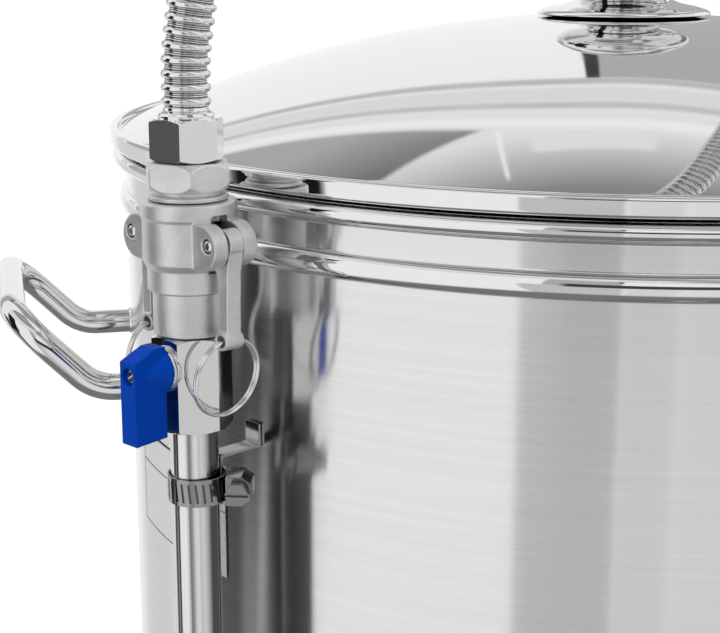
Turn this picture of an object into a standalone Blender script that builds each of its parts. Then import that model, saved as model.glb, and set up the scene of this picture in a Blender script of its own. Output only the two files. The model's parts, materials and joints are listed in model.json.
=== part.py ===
"""An all-in-one electric brew kettle of about 65 litres, modelled as separate pieces.

Metres, +Z up. The origin is the middle of the base plate's underside, on the kettle's axis.
-Y is the front, where the drain tap and the control box are; the two loop handles are at -X and +X.
The recirculation riser stands at the front left and its hose arches over the lid to the back right.
"""

import math

import bmesh
import bpy
from mathutils import Matrix, Vector

# ---------------------------------------------------------------- driving dimensions
CLEAR = 0.0003            # gap between touching pieces
KETTLE_IN_R = 0.2000      # 400 mm inner diameter
WALL = 0.0012
KETTLE_R = KETTLE_IN_R + WALL
RIM_Z = 0.6500            # plane between the kettle's rim and the lid's rim
FLOOR_Z = 0.1050          # underside of the kettle's bottom
LID_R = 0.2068
LID_RISE = 0.0435         # height of the lid's dome above its edge
HOUSING_R = 0.1985
PIPE_R = 0.0079
PIPE_WALL = 0.0012
RISER_R = 0.2274          # from the kettle's axis to the riser's axis
RISER_ANGLE = math.radians(-147.65)
RETURN_R = 0.2326
RETURN_ANGLE = math.radians(45)
HANDLE_ROD_R = 0.0050
PUMP_R = 0.0950           # from the kettle's axis to the pump's axis, below the riser's angle
PUMP_OUT_Z = 0.0620
HOSE_R = 0.0079
TAP_Z = 0.1550

COARSE, MEDIUM, FINE = 12, 20, 48  # facets round small, middling and large turned pieces

# heights on the riser, measured from the rim plane
NUT_TOP, NUT_LOW = 0.0277, 0.0123
HEX_TOP, HEX_LOW = 0.0120, 0.0008
COUPLER_TOP, COUPLER_LOW = -0.0001, -0.0288
BARREL_LOW, SKIRT_TOP = -0.0195, -0.0215
ADAPTER_LOW = -0.0430
VALVE_TOP, VALVE_LOW = -0.0433, -0.0743
STEM_Z = -0.0530
CAM_PIN_Z, CAM_PIN_T, CAM_PIN_R = -0.0115, 0.0189, 0.0020
CLAMP_Z = -0.0950
SHELF_Z = -0.0860         # the bracket's shelf

# the eye at a cam lever's lower end, from its pivot, and the ring that hangs in it
EYE_OUT, EYE_DOWN = -0.0003, -0.0308
RING_R, RING_WIRE, RING_TILT = 0.0123, 0.0009, math.radians(8)

# the hexagons on the riser, turned to the way they were tightened
HEX_TWIST = math.radians(55)
NUT_TWIST = math.radians(44)
RETURN_TWIST = math.radians(10)


# ---------------------------------------------------------------- scene and materials
def empty_scene():
    for thing in list(bpy.data.objects):
        bpy.data.objects.remove(thing, do_unlink=True)


def collection(name):
    made = bpy.data.collections.new(name)
    bpy.context.scene.collection.children.link(made)
    return made


def material(name, colour, metallic, roughness):
    made = bpy.data.materials.new(name)
    made.use_nodes = True
    shader = made.node_tree.nodes["Principled BSDF"]
    shader.inputs["Base Color"].default_value = (*colour, 1)
    shader.inputs["Metallic"].default_value = metallic
    shader.inputs["Roughness"].default_value = roughness
    made.diffuse_color = (*colour, 1)
    return made


empty_scene()
PARTS = collection("brew_kettle")
CUTTERS = collection("cutters")
FRAMES = collection("frames")

POLISHED = ((0.80, 0.80, 0.80), 1.0, 0.08)
BRUSHED = ((0.72, 0.72, 0.71), 1.0, 0.30)
CAST = ((0.62, 0.62, 0.60), 1.0, 0.45)
BLACK = ((0.02, 0.02, 0.02), 0.0, 0.45)
RUBBER = ((0.03, 0.03, 0.03), 0.0, 0.80)
BLUE = ((0.01, 0.08, 0.45), 0.0, 0.35)
WHITE = ((0.85, 0.85, 0.82), 0.0, 0.45)
GREEN = ((0.03, 0.22, 0.08), 0.0, 0.50)
GLASS = ((0.10, 0.12, 0.13), 0.0, 0.10)


def frame_at(name, radius, angle, height):
    """An empty whose +X points away from the kettle's axis and +Z up."""
    made = bpy.data.objects.new(name, None)
    FRAMES.objects.link(made)
    made.location = (radius * math.cos(angle), radius * math.sin(angle), height)
    made.rotation_euler = (0, 0, angle)
    return made


def keep(thing, look, parent=None):
    """Gives a piece its own material and puts it with the parts."""
    thing.data.materials.clear()
    thing.data.materials.append(material(thing.name, *look))
    for old in list(thing.users_collection):
        old.objects.unlink(thing)
    PARTS.objects.link(thing)
    thing.parent = parent
    return thing


def as_cutter(thing, parent=None):
    for old in list(thing.users_collection):
        old.objects.unlink(thing)
    CUTTERS.objects.link(thing)
    thing.parent = parent
    thing.hide_render = True
    thing.display_type = "WIRE"
    return thing


def new_object(name, mesh):
    made = bpy.data.objects.new(name, mesh)
    bpy.context.scene.collection.objects.link(made)
    return made


# ---------------------------------------------------------------- shapes
def block(name, low, high, bevel=0.0):
    """A box between two corners, with rounded edges if bevel is given."""
    mesh = bpy.data.meshes.new(name)
    shape = bmesh.new()
    bmesh.ops.create_cube(shape, size=1)
    for v in shape.verts:
        v.co = Vector((low[k] + (v.co[k] + 0.5) * (high[k] - low[k]) for k in range(3)))
    shape.to_mesh(mesh)
    shape.free()
    made = new_object(name, mesh)
    if bevel:
        edge = made.modifiers.new("edge", "BEVEL")
        edge.width = bevel
        edge.segments = 2
    return made


def rod(name, radius, start, end, facets=COARSE, end_radius=None, twist=0.0):
    """A straight cylinder or cone between two points."""
    start, end = Vector(start), Vector(end)
    along = end - start
    mesh = bpy.data.meshes.new(name)
    shape = bmesh.new()
    bmesh.ops.create_cone(
        shape, cap_ends=True, segments=facets, radius1=radius,
        radius2=radius if end_radius is None else end_radius, depth=along.length,
    )
    turn = along.to_track_quat("Z", "Y").to_matrix().to_4x4() @ Matrix.Rotation(twist, 4, "Z")
    bmesh.ops.transform(shape, verts=shape.verts, matrix=Matrix.Translation((start + end) / 2) @ turn)
    shape.to_mesh(mesh)
    shape.free()
    return new_object(name, mesh)


def turned(name, profile, facets=MEDIUM, ring=False):
    """A profile of (radius, height) turned about Z. Its outer side runs from top to bottom."""
    mesh = bpy.data.meshes.new(name)
    points = [(r, 0, z) for r, z in profile]
    edges = [(i, i + 1) for i in range(len(points) - 1)]
    if ring:
        edges.append((len(points) - 1, 0))
    mesh.from_pydata(points, edges, [])
    made = new_object(name, mesh)
    spin = made.modifiers.new("spin", "SCREW")
    spin.steps = facets
    spin.render_steps = facets
    spin.use_merge_vertices = True
    spin.merge_threshold = 1e-5
    spin.use_smooth_shade = True
    return made


def arc(cx, cz, radius, start, end, count):
    """Points of an arc from one angle to another, in degrees."""
    angles = [math.radians(start + (end - start) * i / count) for i in range(count + 1)]
    return [(cx + radius * math.cos(a), cz + radius * math.sin(a)) for a in angles]


def poly_curve(name, points, radius, sides, caps=True, closed=False):
    data = bpy.data.curves.new(name, "CURVE")
    data.dimensions = "3D"
    data.bevel_depth = radius
    data.bevel_resolution = sides
    data.use_fill_caps = caps
    spline = data.splines.new("POLY")
    spline.points.add(len(points) - 1)
    for point, place in zip(spline.points, points):
        point.co = (*place, 1)
    spline.use_cyclic_u = closed
    made = bpy.data.objects.new(name, data)
    bpy.context.scene.collection.objects.link(made)
    return made


def to_mesh(curve, merge=1e-5):
    """Makes a curve a mesh, and welds its caps."""
    bpy.context.view_layer.update()
    ready = curve.evaluated_get(bpy.context.evaluated_depsgraph_get())
    mesh = bpy.data.meshes.new_from_object(ready)
    shape = bmesh.new()
    shape.from_mesh(mesh)
    bmesh.ops.remove_doubles(shape, verts=shape.verts, dist=merge)
    shape.to_mesh(mesh)
    shape.free()
    name = curve.name
    place = curve.matrix_world.copy()
    bpy.data.objects.remove(curve, do_unlink=True)
    made = new_object(name, mesh)
    made.matrix_world = place
    return made


def tube(name, points, radius, thickness, sides=3):
    """A hollow tube along a route, open at both ends."""
    made = to_mesh(poly_curve(name, points, radius, sides, caps=False))
    skin = made.modifiers.new("wall", "SOLIDIFY")
    skin.thickness = thickness
    skin.offset = -1
    return made


def bent(corners, radius, steps=5):
    """A route through corner points, with each corner rounded to the bend radius."""
    corners = [Vector(c) for c in corners]
    route = [corners[0]]
    for before, here, after in zip(corners, corners[1:], corners[2:]):
        a, b = (before - here).normalized(), (after - here).normalized()
        half = a.angle(b) / 2
        set_back = radius / math.tan(half)
        centre = here + (a + b).normalized() * (radius / math.sin(half))
        first, last = here + a * set_back - centre, here + b * set_back - centre
        swing = first.angle(last)
        axis = first.cross(last).normalized()
        for i in range(steps + 1):
            route.append(centre + Matrix.Rotation(swing * i / steps, 3, axis) @ first)
    route.append(corners[-1])
    return route


def smooth(points, count):
    """Points evenly spaced on a smooth curve through the route's own points."""
    points = [Vector(p) for p in points]
    ends = [2 * points[0] - points[1], *points, 2 * points[-1] - points[-2]]
    fine = []
    for a, b, c, d in zip(ends, ends[1:], ends[2:], ends[3:]):
        for i in range(24):
            t = i / 24
            fine.append(
                0.5 * (2 * b + (c - a) * t + (2 * a - 5 * b + 4 * c - d) * t**2
                       + (3 * b - a - 3 * c + d) * t**3)
            )
    fine.append(points[-1])
    lengths = [0.0]
    for a, b in zip(fine, fine[1:]):
        lengths.append(lengths[-1] + (b - a).length)
    route, k = [], 0
    for i in range(count):
        goal = lengths[-1] * i / (count - 1)
        while k < len(lengths) - 2 and lengths[k + 1] < goal:
            k += 1
        share = (goal - lengths[k]) / (lengths[k + 1] - lengths[k])
        route.append(fine[k].lerp(fine[k + 1], min(1.0, share)))
    return route


def outline(name, points, low, high):
    """A flat outline in X and Z, extruded along Y between low and high."""
    data = bpy.data.curves.new(name, "CURVE")
    data.dimensions = "2D"
    data.fill_mode = "BOTH"
    data.extrude = (high - low) / 2
    spline = data.splines.new("POLY")
    spline.points.add(len(points) - 1)
    for point, (x, z) in zip(spline.points, points):
        point.co = (x, z, 0, 1)
    spline.use_cyclic_u = True
    curve = bpy.data.objects.new(name, data)
    bpy.context.scene.collection.objects.link(curve)
    made = to_mesh(curve)
    upright = Matrix.Translation((0, (low + high) / 2, 0)) @ Matrix.Rotation(math.pi / 2, 4, "X")
    made.data.transform(upright)
    return made


def combine(piece, tool, operation, parent=None):
    """Cuts, joins or trims a piece with another object, which becomes a guide."""
    as_cutter(tool, parent)
    step = piece.modifiers.new(operation.lower(), "BOOLEAN")
    step.operation = operation
    step.solver = "EXACT"
    step.object = tool
    return piece


def cut(piece, tool, parent=None):
    return combine(piece, tool, "DIFFERENCE", parent)


def join(piece, tool, parent=None):
    return combine(piece, tool, "UNION", parent)


def hexagon(name, across, low, high, bore, chamfer, twist, parent):
    """A hexagonal nut on a vertical axis, its corners turned off at both ends."""
    corner, flat, spare = across / math.sqrt(3), across / 2, 0.001
    piece = rod(name, corner, (0, 0, low - spare), (0, 0, high + spare), 6, twist=twist)
    slope = chamfer * (corner + spare - flat) / (corner - flat)
    lens = turned(
        name + "_turned_ends",
        [(0, high), (flat, high), (corner + spare, high - slope),
         (corner + spare, low + slope), (flat, low), (0, low)],
        MEDIUM,
    )
    combine(piece, lens, "INTERSECT", parent)
    hole = rod(name + "_bore", bore, (0, 0, low - 0.01), (0, 0, high + 0.01), COARSE)
    return cut(piece, hole, parent)


# ---------------------------------------------------------------- kettle
def shell_profile():
    """The kettle's section: inner floor and wall, rolled rim, outer wall with its bead, underside."""
    corner, rim_r, bead_z, bead_half, bead_out = 0.014, 0.0030, RIM_Z - 0.0205, 0.0040, 0.0025
    low = FLOOR_Z + WALL
    bead = [(math.cos(math.radians(a)), math.sin(math.radians(a))) for a in (-90, -45, 0, 45, 90)]
    inside = [(0, low)]
    inside += arc(KETTLE_IN_R - corner, low + corner, corner, -90, 0, 3)
    inside += [(KETTLE_IN_R + bead_out * c, bead_z + bead_half * s) for c, s in bead]
    rim = arc(KETTLE_IN_R + rim_r, RIM_Z - 0.0004 - rim_r, rim_r, 180, -90, 8)
    outside = [(KETTLE_R, RIM_Z - 0.0066)]
    outside += [(KETTLE_R + bead_out * c, bead_z + bead_half * s) for c, s in reversed(bead)]
    outside += arc(KETTLE_R - corner - WALL, FLOOR_Z + corner + WALL, corner + WALL, 0, -90, 3)
    return inside + rim + outside + [(0, FLOOR_Z)]


def make_shell(pump, back):
    shell = keep(turned("kettle_shell", shell_profile(), FINE), BRUSHED)
    cut(shell, rod("pump_outlet_hole", 0.0104, (0, 0, FLOOR_Z - 0.01), (0, 0, FLOOR_Z + 0.01)), pump)
    cut(shell, rod("probe_hole", 0.0035, (0.06, -0.05, FLOOR_Z - 0.01), (0.06, -0.05, FLOOR_Z + 0.01)))
    cut(shell, rod("tap_hole", 0.0108, (0, -KETTLE_R - 0.02, TAP_Z), (0, -KETTLE_IN_R + 0.02, TAP_Z)))
    cut(shell, rod("return_hole", 0.0084, (0.01, 0, RETURN_PORT_Z), (-0.06, 0, RETURN_PORT_Z)), back)


def make_handle(name, side):
    """A bent rod: two legs leave the wall level, rise and meet in a straight grip."""
    spread, low, high, out = 0.051, RIM_Z - 0.080, RIM_Z - 0.052, 0.2475
    foot = math.sqrt(KETTLE_R**2 - spread**2) + 0.0016
    corners = [
        (foot, -spread, low), (0.2195, -spread, low), (out, -spread, high),
        (out, spread, high), (0.2195, spread, low), (foot, spread, low),
    ]
    route = [(side * x, y, z) for x, y, z in bent(corners, 0.018, 4)]
    keep(poly_curve(name, route, HANDLE_ROD_R, 3), POLISHED)


# ---------------------------------------------------------------- base
def make_base(riser, pump):
    wall = 0.0015
    top = FLOOR_Z + 0.0042
    housing = turned(
        "base_housing",
        [(HOUSING_R - wall, top), (HOUSING_R, top), (HOUSING_R, 0.0036), (HOUSING_R - wall, 0.0036)],
        FINE, ring=True,
    )
    keep(housing, BRUSHED)
    pipe_z = PUMP_OUT_Z - RIM_Z
    cut(housing, rod("pipe_passage", PIPE_R + 0.0016, (0.02, 0, pipe_z), (-0.06, 0, pipe_z)), riser)
    cut(housing, block("panel_window", (-0.070, -0.21, 0.026), (0.070, -0.18, 0.082)))
    cut(housing, block("inlet_window", (-0.0140, 0.18, 0.0380), (0.0140, 0.21, 0.0620)))
    plate = turned("base_plate", [(0, 0.003), (0.1980, 0.003), (0.1980, 0), (0, 0)], FINE)
    keep(plate, BLACK)
    for i in range(8):
        angle = math.radians(22.5 + 45 * i)
        slot = block(f"vent_{i}", (0.10, -0.004, -0.01), (0.15, 0.004, 0.01))
        slot.rotation_euler = (0, 0, angle)
        cut(plate, slot)
    for name, x, y in FEET:
        foot = turned(name, [(0, -CLEAR), (0.019, -CLEAR), (0.017, -0.012), (0, -0.012)], COARSE)
        foot.location = (x, y, 0)
        keep(foot, RUBBER)


FEET = [
    (f"foot_{row}_{side}", 0.118 * sx, 0.118 * sy)
    for row, sy in (("front", -1), ("back", 1)) for side, sx in (("left", -1), ("right", 1))
]

BOX_FRONT, BOX_HALF, BOX_LOW, BOX_HIGH = -0.2240, 0.0850, 0.0160, 0.0920
BUTTONS = [("button_minus", 0.014), ("button_plus", 0.032), ("button_pump", 0.050), ("button_heat", 0.068)]
BUTTON_Z, BUTTON_R = 0.0660, 0.0058
ROCKER_X, ROCKER_Z, ROCKER_TILT = 0.0410, 0.0360, 7.0


def make_control_box():
    thick = 0.0025
    box = block("control_box", (-BOX_HALF, BOX_FRONT, BOX_LOW), (BOX_HALF, -0.170, BOX_HIGH), 0.004)
    keep(box, BLACK)
    cut(box, block("box_hollow", (-BOX_HALF + thick, BOX_FRONT + thick, BOX_LOW + thick),
                   (BOX_HALF - thick, -0.150, BOX_HIGH - thick)))
    cut(box, rod("housing_round", HOUSING_R + 0.0006, (0, 0, -0.02), (0, 0, 0.14), FINE))
    cut(box, block("display_opening", (-0.070, BOX_FRONT - 0.01, 0.046), (-0.006, BOX_FRONT + 0.01, 0.082)))
    for name, x in BUTTONS:
        cut(box, rod(name + "_opening", BUTTON_R + 0.0005, (x, BOX_FRONT - 0.01, BUTTON_Z),
                     (x, BOX_FRONT + 0.01, BUTTON_Z)))
    cut(box, block("rocker_opening", (ROCKER_X - 0.0125, BOX_FRONT - 0.01, ROCKER_Z - 0.0085),
                   (ROCKER_X + 0.0125, BOX_FRONT + 0.01, ROCKER_Z + 0.0085)))
    window = block(
        "display_window", (-0.070 + CLEAR, BOX_FRONT + 0.0004, 0.046 + CLEAR),
        (-0.006 - CLEAR, BOX_FRONT + 0.0026, 0.082 - CLEAR))
    keep(window, GLASS)
    board = block("control_board", (-0.074, -0.2075, 0.024), (0.074, -0.2059, 0.086))
    keep(board, GREEN)
    for name, x in BUTTONS:
        button = turned(
            name, [(0, 0), (BUTTON_R - 0.0008, 0), (BUTTON_R, -0.0008), (BUTTON_R, -0.0047),
                   (BUTTON_R + 0.0012, -0.0047), (BUTTON_R + 0.0012, -0.0065), (0, -0.0065)], MEDIUM)
        button.location = (x, BOX_FRONT - 0.0018, BUTTON_Z)
        button.rotation_euler = (math.pi / 2, 0, 0)
        keep(button, WHITE)
    rocker = outline(
        "rocker_switch",
        [(-0.0060, -0.0066), (-0.0060, 0.0066), (0.0036, 0.0070), (0.0012, 0), (0.0036, -0.0070)],
        -0.0115, 0.0115)
    tilt = Matrix.Rotation(math.radians(ROCKER_TILT), 4, "X")
    rocker.data.transform(tilt @ Matrix.Rotation(-math.pi / 2, 4, "Z"))
    rocker.location = (ROCKER_X, BOX_FRONT + 0.0015, ROCKER_Z)
    keep(rocker, BLACK)


def make_power_inlet():
    y = HOUSING_R
    inlet = block("power_inlet", (-0.0135, y - 0.022, 0.0385), (0.0135, y + 0.0005, 0.0615))
    keep(inlet, BLACK)
    join(inlet, block("inlet_flange", (-0.021, y + 0.0004, 0.0335), (0.021, y + 0.0030, 0.0665), 0.001))
    cut(inlet, block("inlet_recess", (-0.0110, y - 0.018, 0.0425), (0.0110, y + 0.01, 0.0575)))
    for i, x in enumerate((-0.007, 0.0, 0.007)):
        blade = block(f"inlet_blade_{i}", (x - 0.001, y - 0.0185, 0.0480), (x + 0.001, y - 0.004, 0.0520))
        join(inlet, blade)


# ---------------------------------------------------------------- heating, sensing and pumping
def make_heater_and_probe():
    ring_r, rod_r, z = 0.120, 0.0042, FLOOR_Z - 0.0045
    turns = [math.radians(100 + 340 * i / 22) for i in range(23)]
    ring = [(ring_r * math.cos(a), ring_r * math.sin(a), z) for a in turns]
    ends = [(p[0], p[1], z - 0.022) for p in (ring[0], ring[-1])]
    keep(poly_curve("heating_element", [ends[0], *ring, ends[1]], rod_r, 2), BRUSHED)
    stem, head, tail = 0.0028, 0.0070, 0.0035
    tip, seat, shoulder, end = FLOOR_Z + 0.030, FLOOR_Z - CLEAR, FLOOR_Z - 0.006, FLOOR_Z - 0.016
    probe = turned(
        "temperature_probe",
        [(0, tip), (stem, tip - 0.002), (stem, seat), (head, seat),
         (head, shoulder), (tail, shoulder), (tail, end), (0, end)],
        COARSE)
    probe.location = (0.06, -0.05, 0)
    keep(probe, POLISHED)


def make_pump(pump):
    """A magnetically driven pump: the impeller turns in a cup-shaped volute above the motor."""
    bowl_r, out = 0.0320, PUMP_OUT_Z
    volute = turned(
        "pump_volute",
        [(0.0110, out + 0.0100), (bowl_r, out + 0.0100), (bowl_r, out - 0.0100), (0.0045, out - 0.0100),
         (0.0045, out - 0.0075), (bowl_r - 0.003, out - 0.0075), (bowl_r - 0.003, out + 0.0075),
         (0.0110, out + 0.0075)], MEDIUM, ring=True)
    keep(volute, BLACK, pump)
    cut(volute, rod("volute_outlet", 0.0066, (0.02, 0, out), (0.05, 0, out)), pump)
    disc_r, shaft_r, shaft_end = 0.0240, 0.0038, out - 0.0104
    impeller = turned(
        "pump_impeller",
        [(0, out + 0.004), (0.006, out + 0.004), (0.008, out - 0.001), (disc_r, out - 0.001),
         (disc_r, out - 0.005), (shaft_r, out - 0.005), (shaft_r, shaft_end), (0, shaft_end)],
        MEDIUM)
    keep(impeller, WHITE, pump)
    for i in range(5):
        vane = block(f"vane_{i}", (0.007, -0.001, out - 0.002), (0.0235, 0.001, out + 0.0045))
        vane.rotation_euler = (0, 0, math.radians(72 * i))
        join(impeller, vane, pump)
    motor_r, motor_top, motor_low = 0.0290, shaft_end - 0.0004, 0.0060
    motor = turned(
        "pump_motor",
        [(0, motor_top), (motor_r, motor_top), (motor_r, motor_low + 0.008), (motor_r - 0.004, motor_low),
         (0, motor_low)],
        MEDIUM)
    keep(motor, BLACK, pump)
    inner, outer, flange = 0.0082, 0.0100, 0.0140
    floor, lip, low = FLOOR_Z + WALL + CLEAR, FLOOR_Z + 0.0040, out + 0.0060
    inlet = turned(
        "pump_inlet_tube",
        [(inner, lip), (flange, lip), (flange, floor), (outer, floor), (outer, low), (inner, low)],
        COARSE, ring=True)
    keep(inlet, POLISHED, pump)


# ---------------------------------------------------------------- riser
def make_recirculation_pipe(riser):
    volute = 0.0325
    start, low, high = PUMP_R + volute - RISER_R, PUMP_OUT_Z - RIM_Z, VALVE_LOW + 0.0090
    route = bent([(start, 0, low), (0, 0, low), (0, 0, high)], 0.035, 6)
    keep(tube("recirculation_pipe", route, PIPE_R, PIPE_WALL), BRUSHED, riser)


def make_bracket(riser):
    """A folded strip: a foot on the wall, a shelf, and a tab that the clamp holds on the pipe."""
    wall, tab, t, shelf = KETTLE_R + CLEAR - RISER_R, -PIPE_R - CLEAR, 0.0010, SHELF_Z
    up, down = shelf + 0.0070, CLAMP_Z - 0.0080
    points = [
        (wall, up), (wall, shelf - t), (tab - t, shelf - t), (tab - t, down), (tab, down), (tab, shelf),
        (wall + t, shelf), (wall + t, up),
    ]
    keep(outline("pipe_bracket", points, -0.0034, 0.0034), BRUSHED, riser)


def make_clamp(riser):
    shift, inner, outer, half = -0.0010, 0.00915, 0.00985, 0.0045
    band = turned(
        "clamp_band", [(inner, half), (outer, half), (outer, -half), (inner, -half)], MEDIUM, ring=True)
    band.location = (shift, 0, CLAMP_Z)
    keep(band, POLISHED, riser)
    side = bpy.data.objects.new("clamp_side", None)
    FRAMES.objects.link(side)
    side.parent = riser
    side.location = (shift, 0, CLAMP_Z)
    side.rotation_euler = (0, 0, math.radians(130))
    low = outer + CLEAR
    housing = block("clamp_housing", (low, -0.0062, -0.0050), (low + 0.0080, 0.0040, 0.0050), 0.0008)
    keep(housing, POLISHED, side)
    middle = low + 0.0042
    cut(housing, rod("screw_channel", 0.0031, (middle, -0.02, 0), (middle, 0.02, 0)), side)
    screw = rod("clamp_screw", 0.0028, (middle, -0.0068, 0), (middle, 0.0075, 0))
    keep(screw, POLISHED, side)
    join(screw, rod("screw_head", 0.0042, (middle, -0.0100, 0), (middle, -0.0066, 0)), side)
    slot = block("screw_slot", (middle - 0.006, -0.0110, -0.0005), (middle + 0.006, -0.0090, 0.0005))
    cut(screw, slot, side)


LEVER_OUT = 0.0260         # the lever's outer face, from the riser's axis
SCREW_DEPTH = 0.0055       # how deep the screw's seat is below that face


def make_valve(riser):
    """A mini ball valve in a hexagonal body. Its stem points away from the kettle."""
    across, bore = 0.0225, 0.0086
    flat = across / 2
    body = hexagon("valve_body", across, VALVE_LOW, VALVE_TOP, bore, 0.0008, 0.0, riser)
    keep(body, POLISHED, riser)
    join(body, rod("stem_boss", 0.0074, (0.0100, 0, STEM_Z), (flat + 0.0006, 0, STEM_Z), MEDIUM), riser)
    cut(body, rod("stem_hole", 0.0030, (0.0050, 0, STEM_Z), (0.0200, 0, STEM_Z)), riser)
    ball = rod("valve_ball", 0.0026, (0, 0, 0), (LEVER_OUT - SCREW_DEPTH - 0.0025, 0, 0))
    ball.location = (0, 0, STEM_Z)
    keep(ball, POLISHED, riser)
    sphere = new_object("ball", bpy.data.meshes.new("ball"))
    shape = bmesh.new()
    bmesh.ops.create_uvsphere(shape, u_segments=12, v_segments=8, radius=0.0073)
    shape.to_mesh(sphere.data)
    shape.free()
    sphere.location = (0, 0, STEM_Z)
    join(ball, sphere, riser)
    cut(ball, rod("ball_bore", 0.0042, (0, 0, STEM_Z - 0.02), (0, 0, STEM_Z + 0.02), 12), riser)
    washer = rod("valve_washer", 0.0070, (flat + 0.0009, 0, 0), (flat + 0.0015, 0, 0), MEDIUM)
    washer.location = (0, 0, STEM_Z)
    keep(washer, POLISHED, riser)
    cut(washer, rod("washer_hole", 0.0029, (0, 0, STEM_Z), (0.03, 0, STEM_Z)), riser)
    make_valve_handle(riser, flat + 0.00235)


def make_valve_handle(riser, inner):
    """A lever with a sloping top and a conical hub round the stem."""
    outer, half, low, high = LEVER_OUT, 0.00375, VALVE_LOW - 0.0012 - STEM_Z, 0.0083
    lever = outline(
        "valve_handle",
        [(inner, low + 0.0008), (inner, high), (inner + 0.004, high), (outer, high - 0.0037), (outer, low)],
        -half, half)
    edge = lever.modifiers.new("edge", "BEVEL")
    edge.width = 0.0006
    edge.segments = 1
    lever.location = (0, 0, STEM_Z)
    keep(lever, BLUE, riser)
    hub_start, hub_end = (inner - 0.0005, 0, STEM_Z), (outer - 0.004, 0, STEM_Z)
    hub = rod("hub_cone", 0.0073, hub_start, hub_end, MEDIUM, end_radius=0.0034)
    join(lever, hub, riser)
    seat = outer - SCREW_DEPTH
    cut(lever, rod("stem_socket", 0.0029, (0, 0, STEM_Z), (seat - 0.0022, 0, STEM_Z)), riser)
    cut(lever, rod("screw_recess", 0.0027, (seat, 0, STEM_Z), (0.03, 0, STEM_Z)), riser)
    screw = rod("handle_screw", 0.0024, (seat + CLEAR, 0, 0), (seat + 0.0043, 0, 0))
    screw.location = (0, 0, STEM_Z)
    keep(screw, POLISHED, riser)


def make_adapter(riser):
    """The male half of the coupling: a grooved spigot over the valve, and the gasket on its end."""
    skirt, groove, tail, bore = 0.0120, 0.0104, 0.0080, 0.0062
    spigot, top, tail_low = skirt - 0.0001, -0.0100, ADAPTER_LOW - 0.0014
    adapter = turned(
        "camlock_adapter",
        [(bore, top), (spigot - 0.0005, top), (spigot, top - 0.0006), (spigot, -0.0125),
         (groove, -0.0140), (groove, -0.0190), (spigot, -0.0210), (skirt, -0.0320),
         (skirt, ADAPTER_LOW), (tail, ADAPTER_LOW), (tail, tail_low), (bore, tail_low)],
        MEDIUM, ring=True)
    keep(adapter, CAST, riser)
    gasket_in, gasket_out, gasket_top = 0.0075, 0.0116, -0.0068
    gasket = turned(
        "camlock_gasket",
        [(gasket_in, gasket_top), (gasket_out, gasket_top), (gasket_out, top + CLEAR),
         (gasket_in, top + CLEAR)],
        MEDIUM, ring=True)
    keep(gasket, RUBBER, riser)


def stadium(half_length, radius, centre, count=8):
    """A round-ended outline in X and Z, centred at x = 0."""
    right = arc(half_length - radius, centre, radius, -90, 90, count)
    left = arc(-half_length + radius, centre, radius, 90, 270, count)
    return right + left


def make_coupler(riser):
    """The female half: a turned body with two pairs of ears, slotted for the cam arms."""
    collar, waist, skirt, ear_from, ear_to = 0.0154, 0.0147, 0.0136, 0.0032, 0.0085
    body = turned(
        "camlock_coupler",
        [(0, COUPLER_TOP), (collar - 0.0005, COUPLER_TOP), (collar, COUPLER_TOP - 0.0007),
         (collar, -0.0050), (waist, -0.0058), (waist, BARREL_LOW), (skirt, SKIRT_TOP),
         (skirt, COUPLER_LOW + 0.0008), (skirt - 0.0006, COUPLER_LOW), (0, COUPLER_LOW)],
        MEDIUM)
    keep(body, CAST, riser)
    for side, (low, high) in (("front", (ear_from, ear_to)), ("back", (-ear_to, -ear_from))):
        ears = outline("ears_" + side, stadium(0.0230, 0.0073, -0.0128), low, high)
        ears.data.transform(Matrix.Rotation(-math.pi / 2, 4, "Z"))
        join(body, ears, riser)
    cut(body, rod("coupler_hollow", 0.0124, (0, 0, COUPLER_LOW - 0.01), (0, 0, -0.0065), MEDIUM), riser)
    cut(body, rod("coupler_thread", 0.0090, (0, 0, -0.0100), (0, 0, 0.01), MEDIUM), riser)
    for side in (-1, 1):
        slot_low, slot_high = (-ear_from, 0.0110, SKIRT_TOP - 0.0003), (ear_from, 0.0300, -0.0038)
        slot = block(f"cam_slot_{side}", slot_low, slot_high)
        slot.data.transform(Matrix.Diagonal((1, side, 1, 1)))
        if side < 0:
            slot.data.flip_normals()
        cut(body, slot, riser)
        cut(body, rod(f"pin_hole_{side}", CAM_PIN_R + 0.0002, (-0.02, side * CAM_PIN_T, CAM_PIN_Z),
                      (0.02, side * CAM_PIN_T, CAM_PIN_Z)), riser)


def make_cam_arm(riser, name, side):
    """A cam lever hanging beside the coupler, with a boss and an eye for the pull ring at its end."""
    pivot = (0, side * CAM_PIN_T, CAM_PIN_Z)
    half, head, out, inner, nose, tip = 0.0028, 0.0046, 0.0020, -0.0018, -0.0068, EYE_DOWN - 0.0011
    points = [
        (out, tip), (out + 0.0006, -0.0090), *arc(0, 0, head, -35, 172, 9),
        (nose, -0.0024), (nose, -0.0044), (-0.0040, -0.0068), (inner, -0.0100), (inner, tip),
    ]
    arm = outline(name, points, -half, half)
    arm.data.transform(Matrix.Rotation(math.pi / 2, 4, "Z"))
    if side < 0:
        arm.data.transform(Matrix.Rotation(math.pi, 4, "Z"))
    arm.location = pivot
    keep(arm, CAST, riser)
    eye = (side * (CAM_PIN_T + EYE_OUT), CAM_PIN_Z + EYE_DOWN)
    boss_r, boss_half, eye_r, turn = 0.0030, 0.0036, 0.0020, 0.11
    boss = rod("eye_boss_" + name, boss_r, (-boss_half, *eye), (boss_half, *eye), COARSE, twist=turn)
    join(arm, boss, riser)
    cut(arm, rod("pin_bore_" + name, CAM_PIN_R + 0.0003, (-0.02, *pivot[1:]), (0.02, *pivot[1:])), riser)
    cut(arm, rod("eye_" + name, eye_r, (-0.02, *eye), (0.02, *eye), twist=turn), riser)


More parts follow.
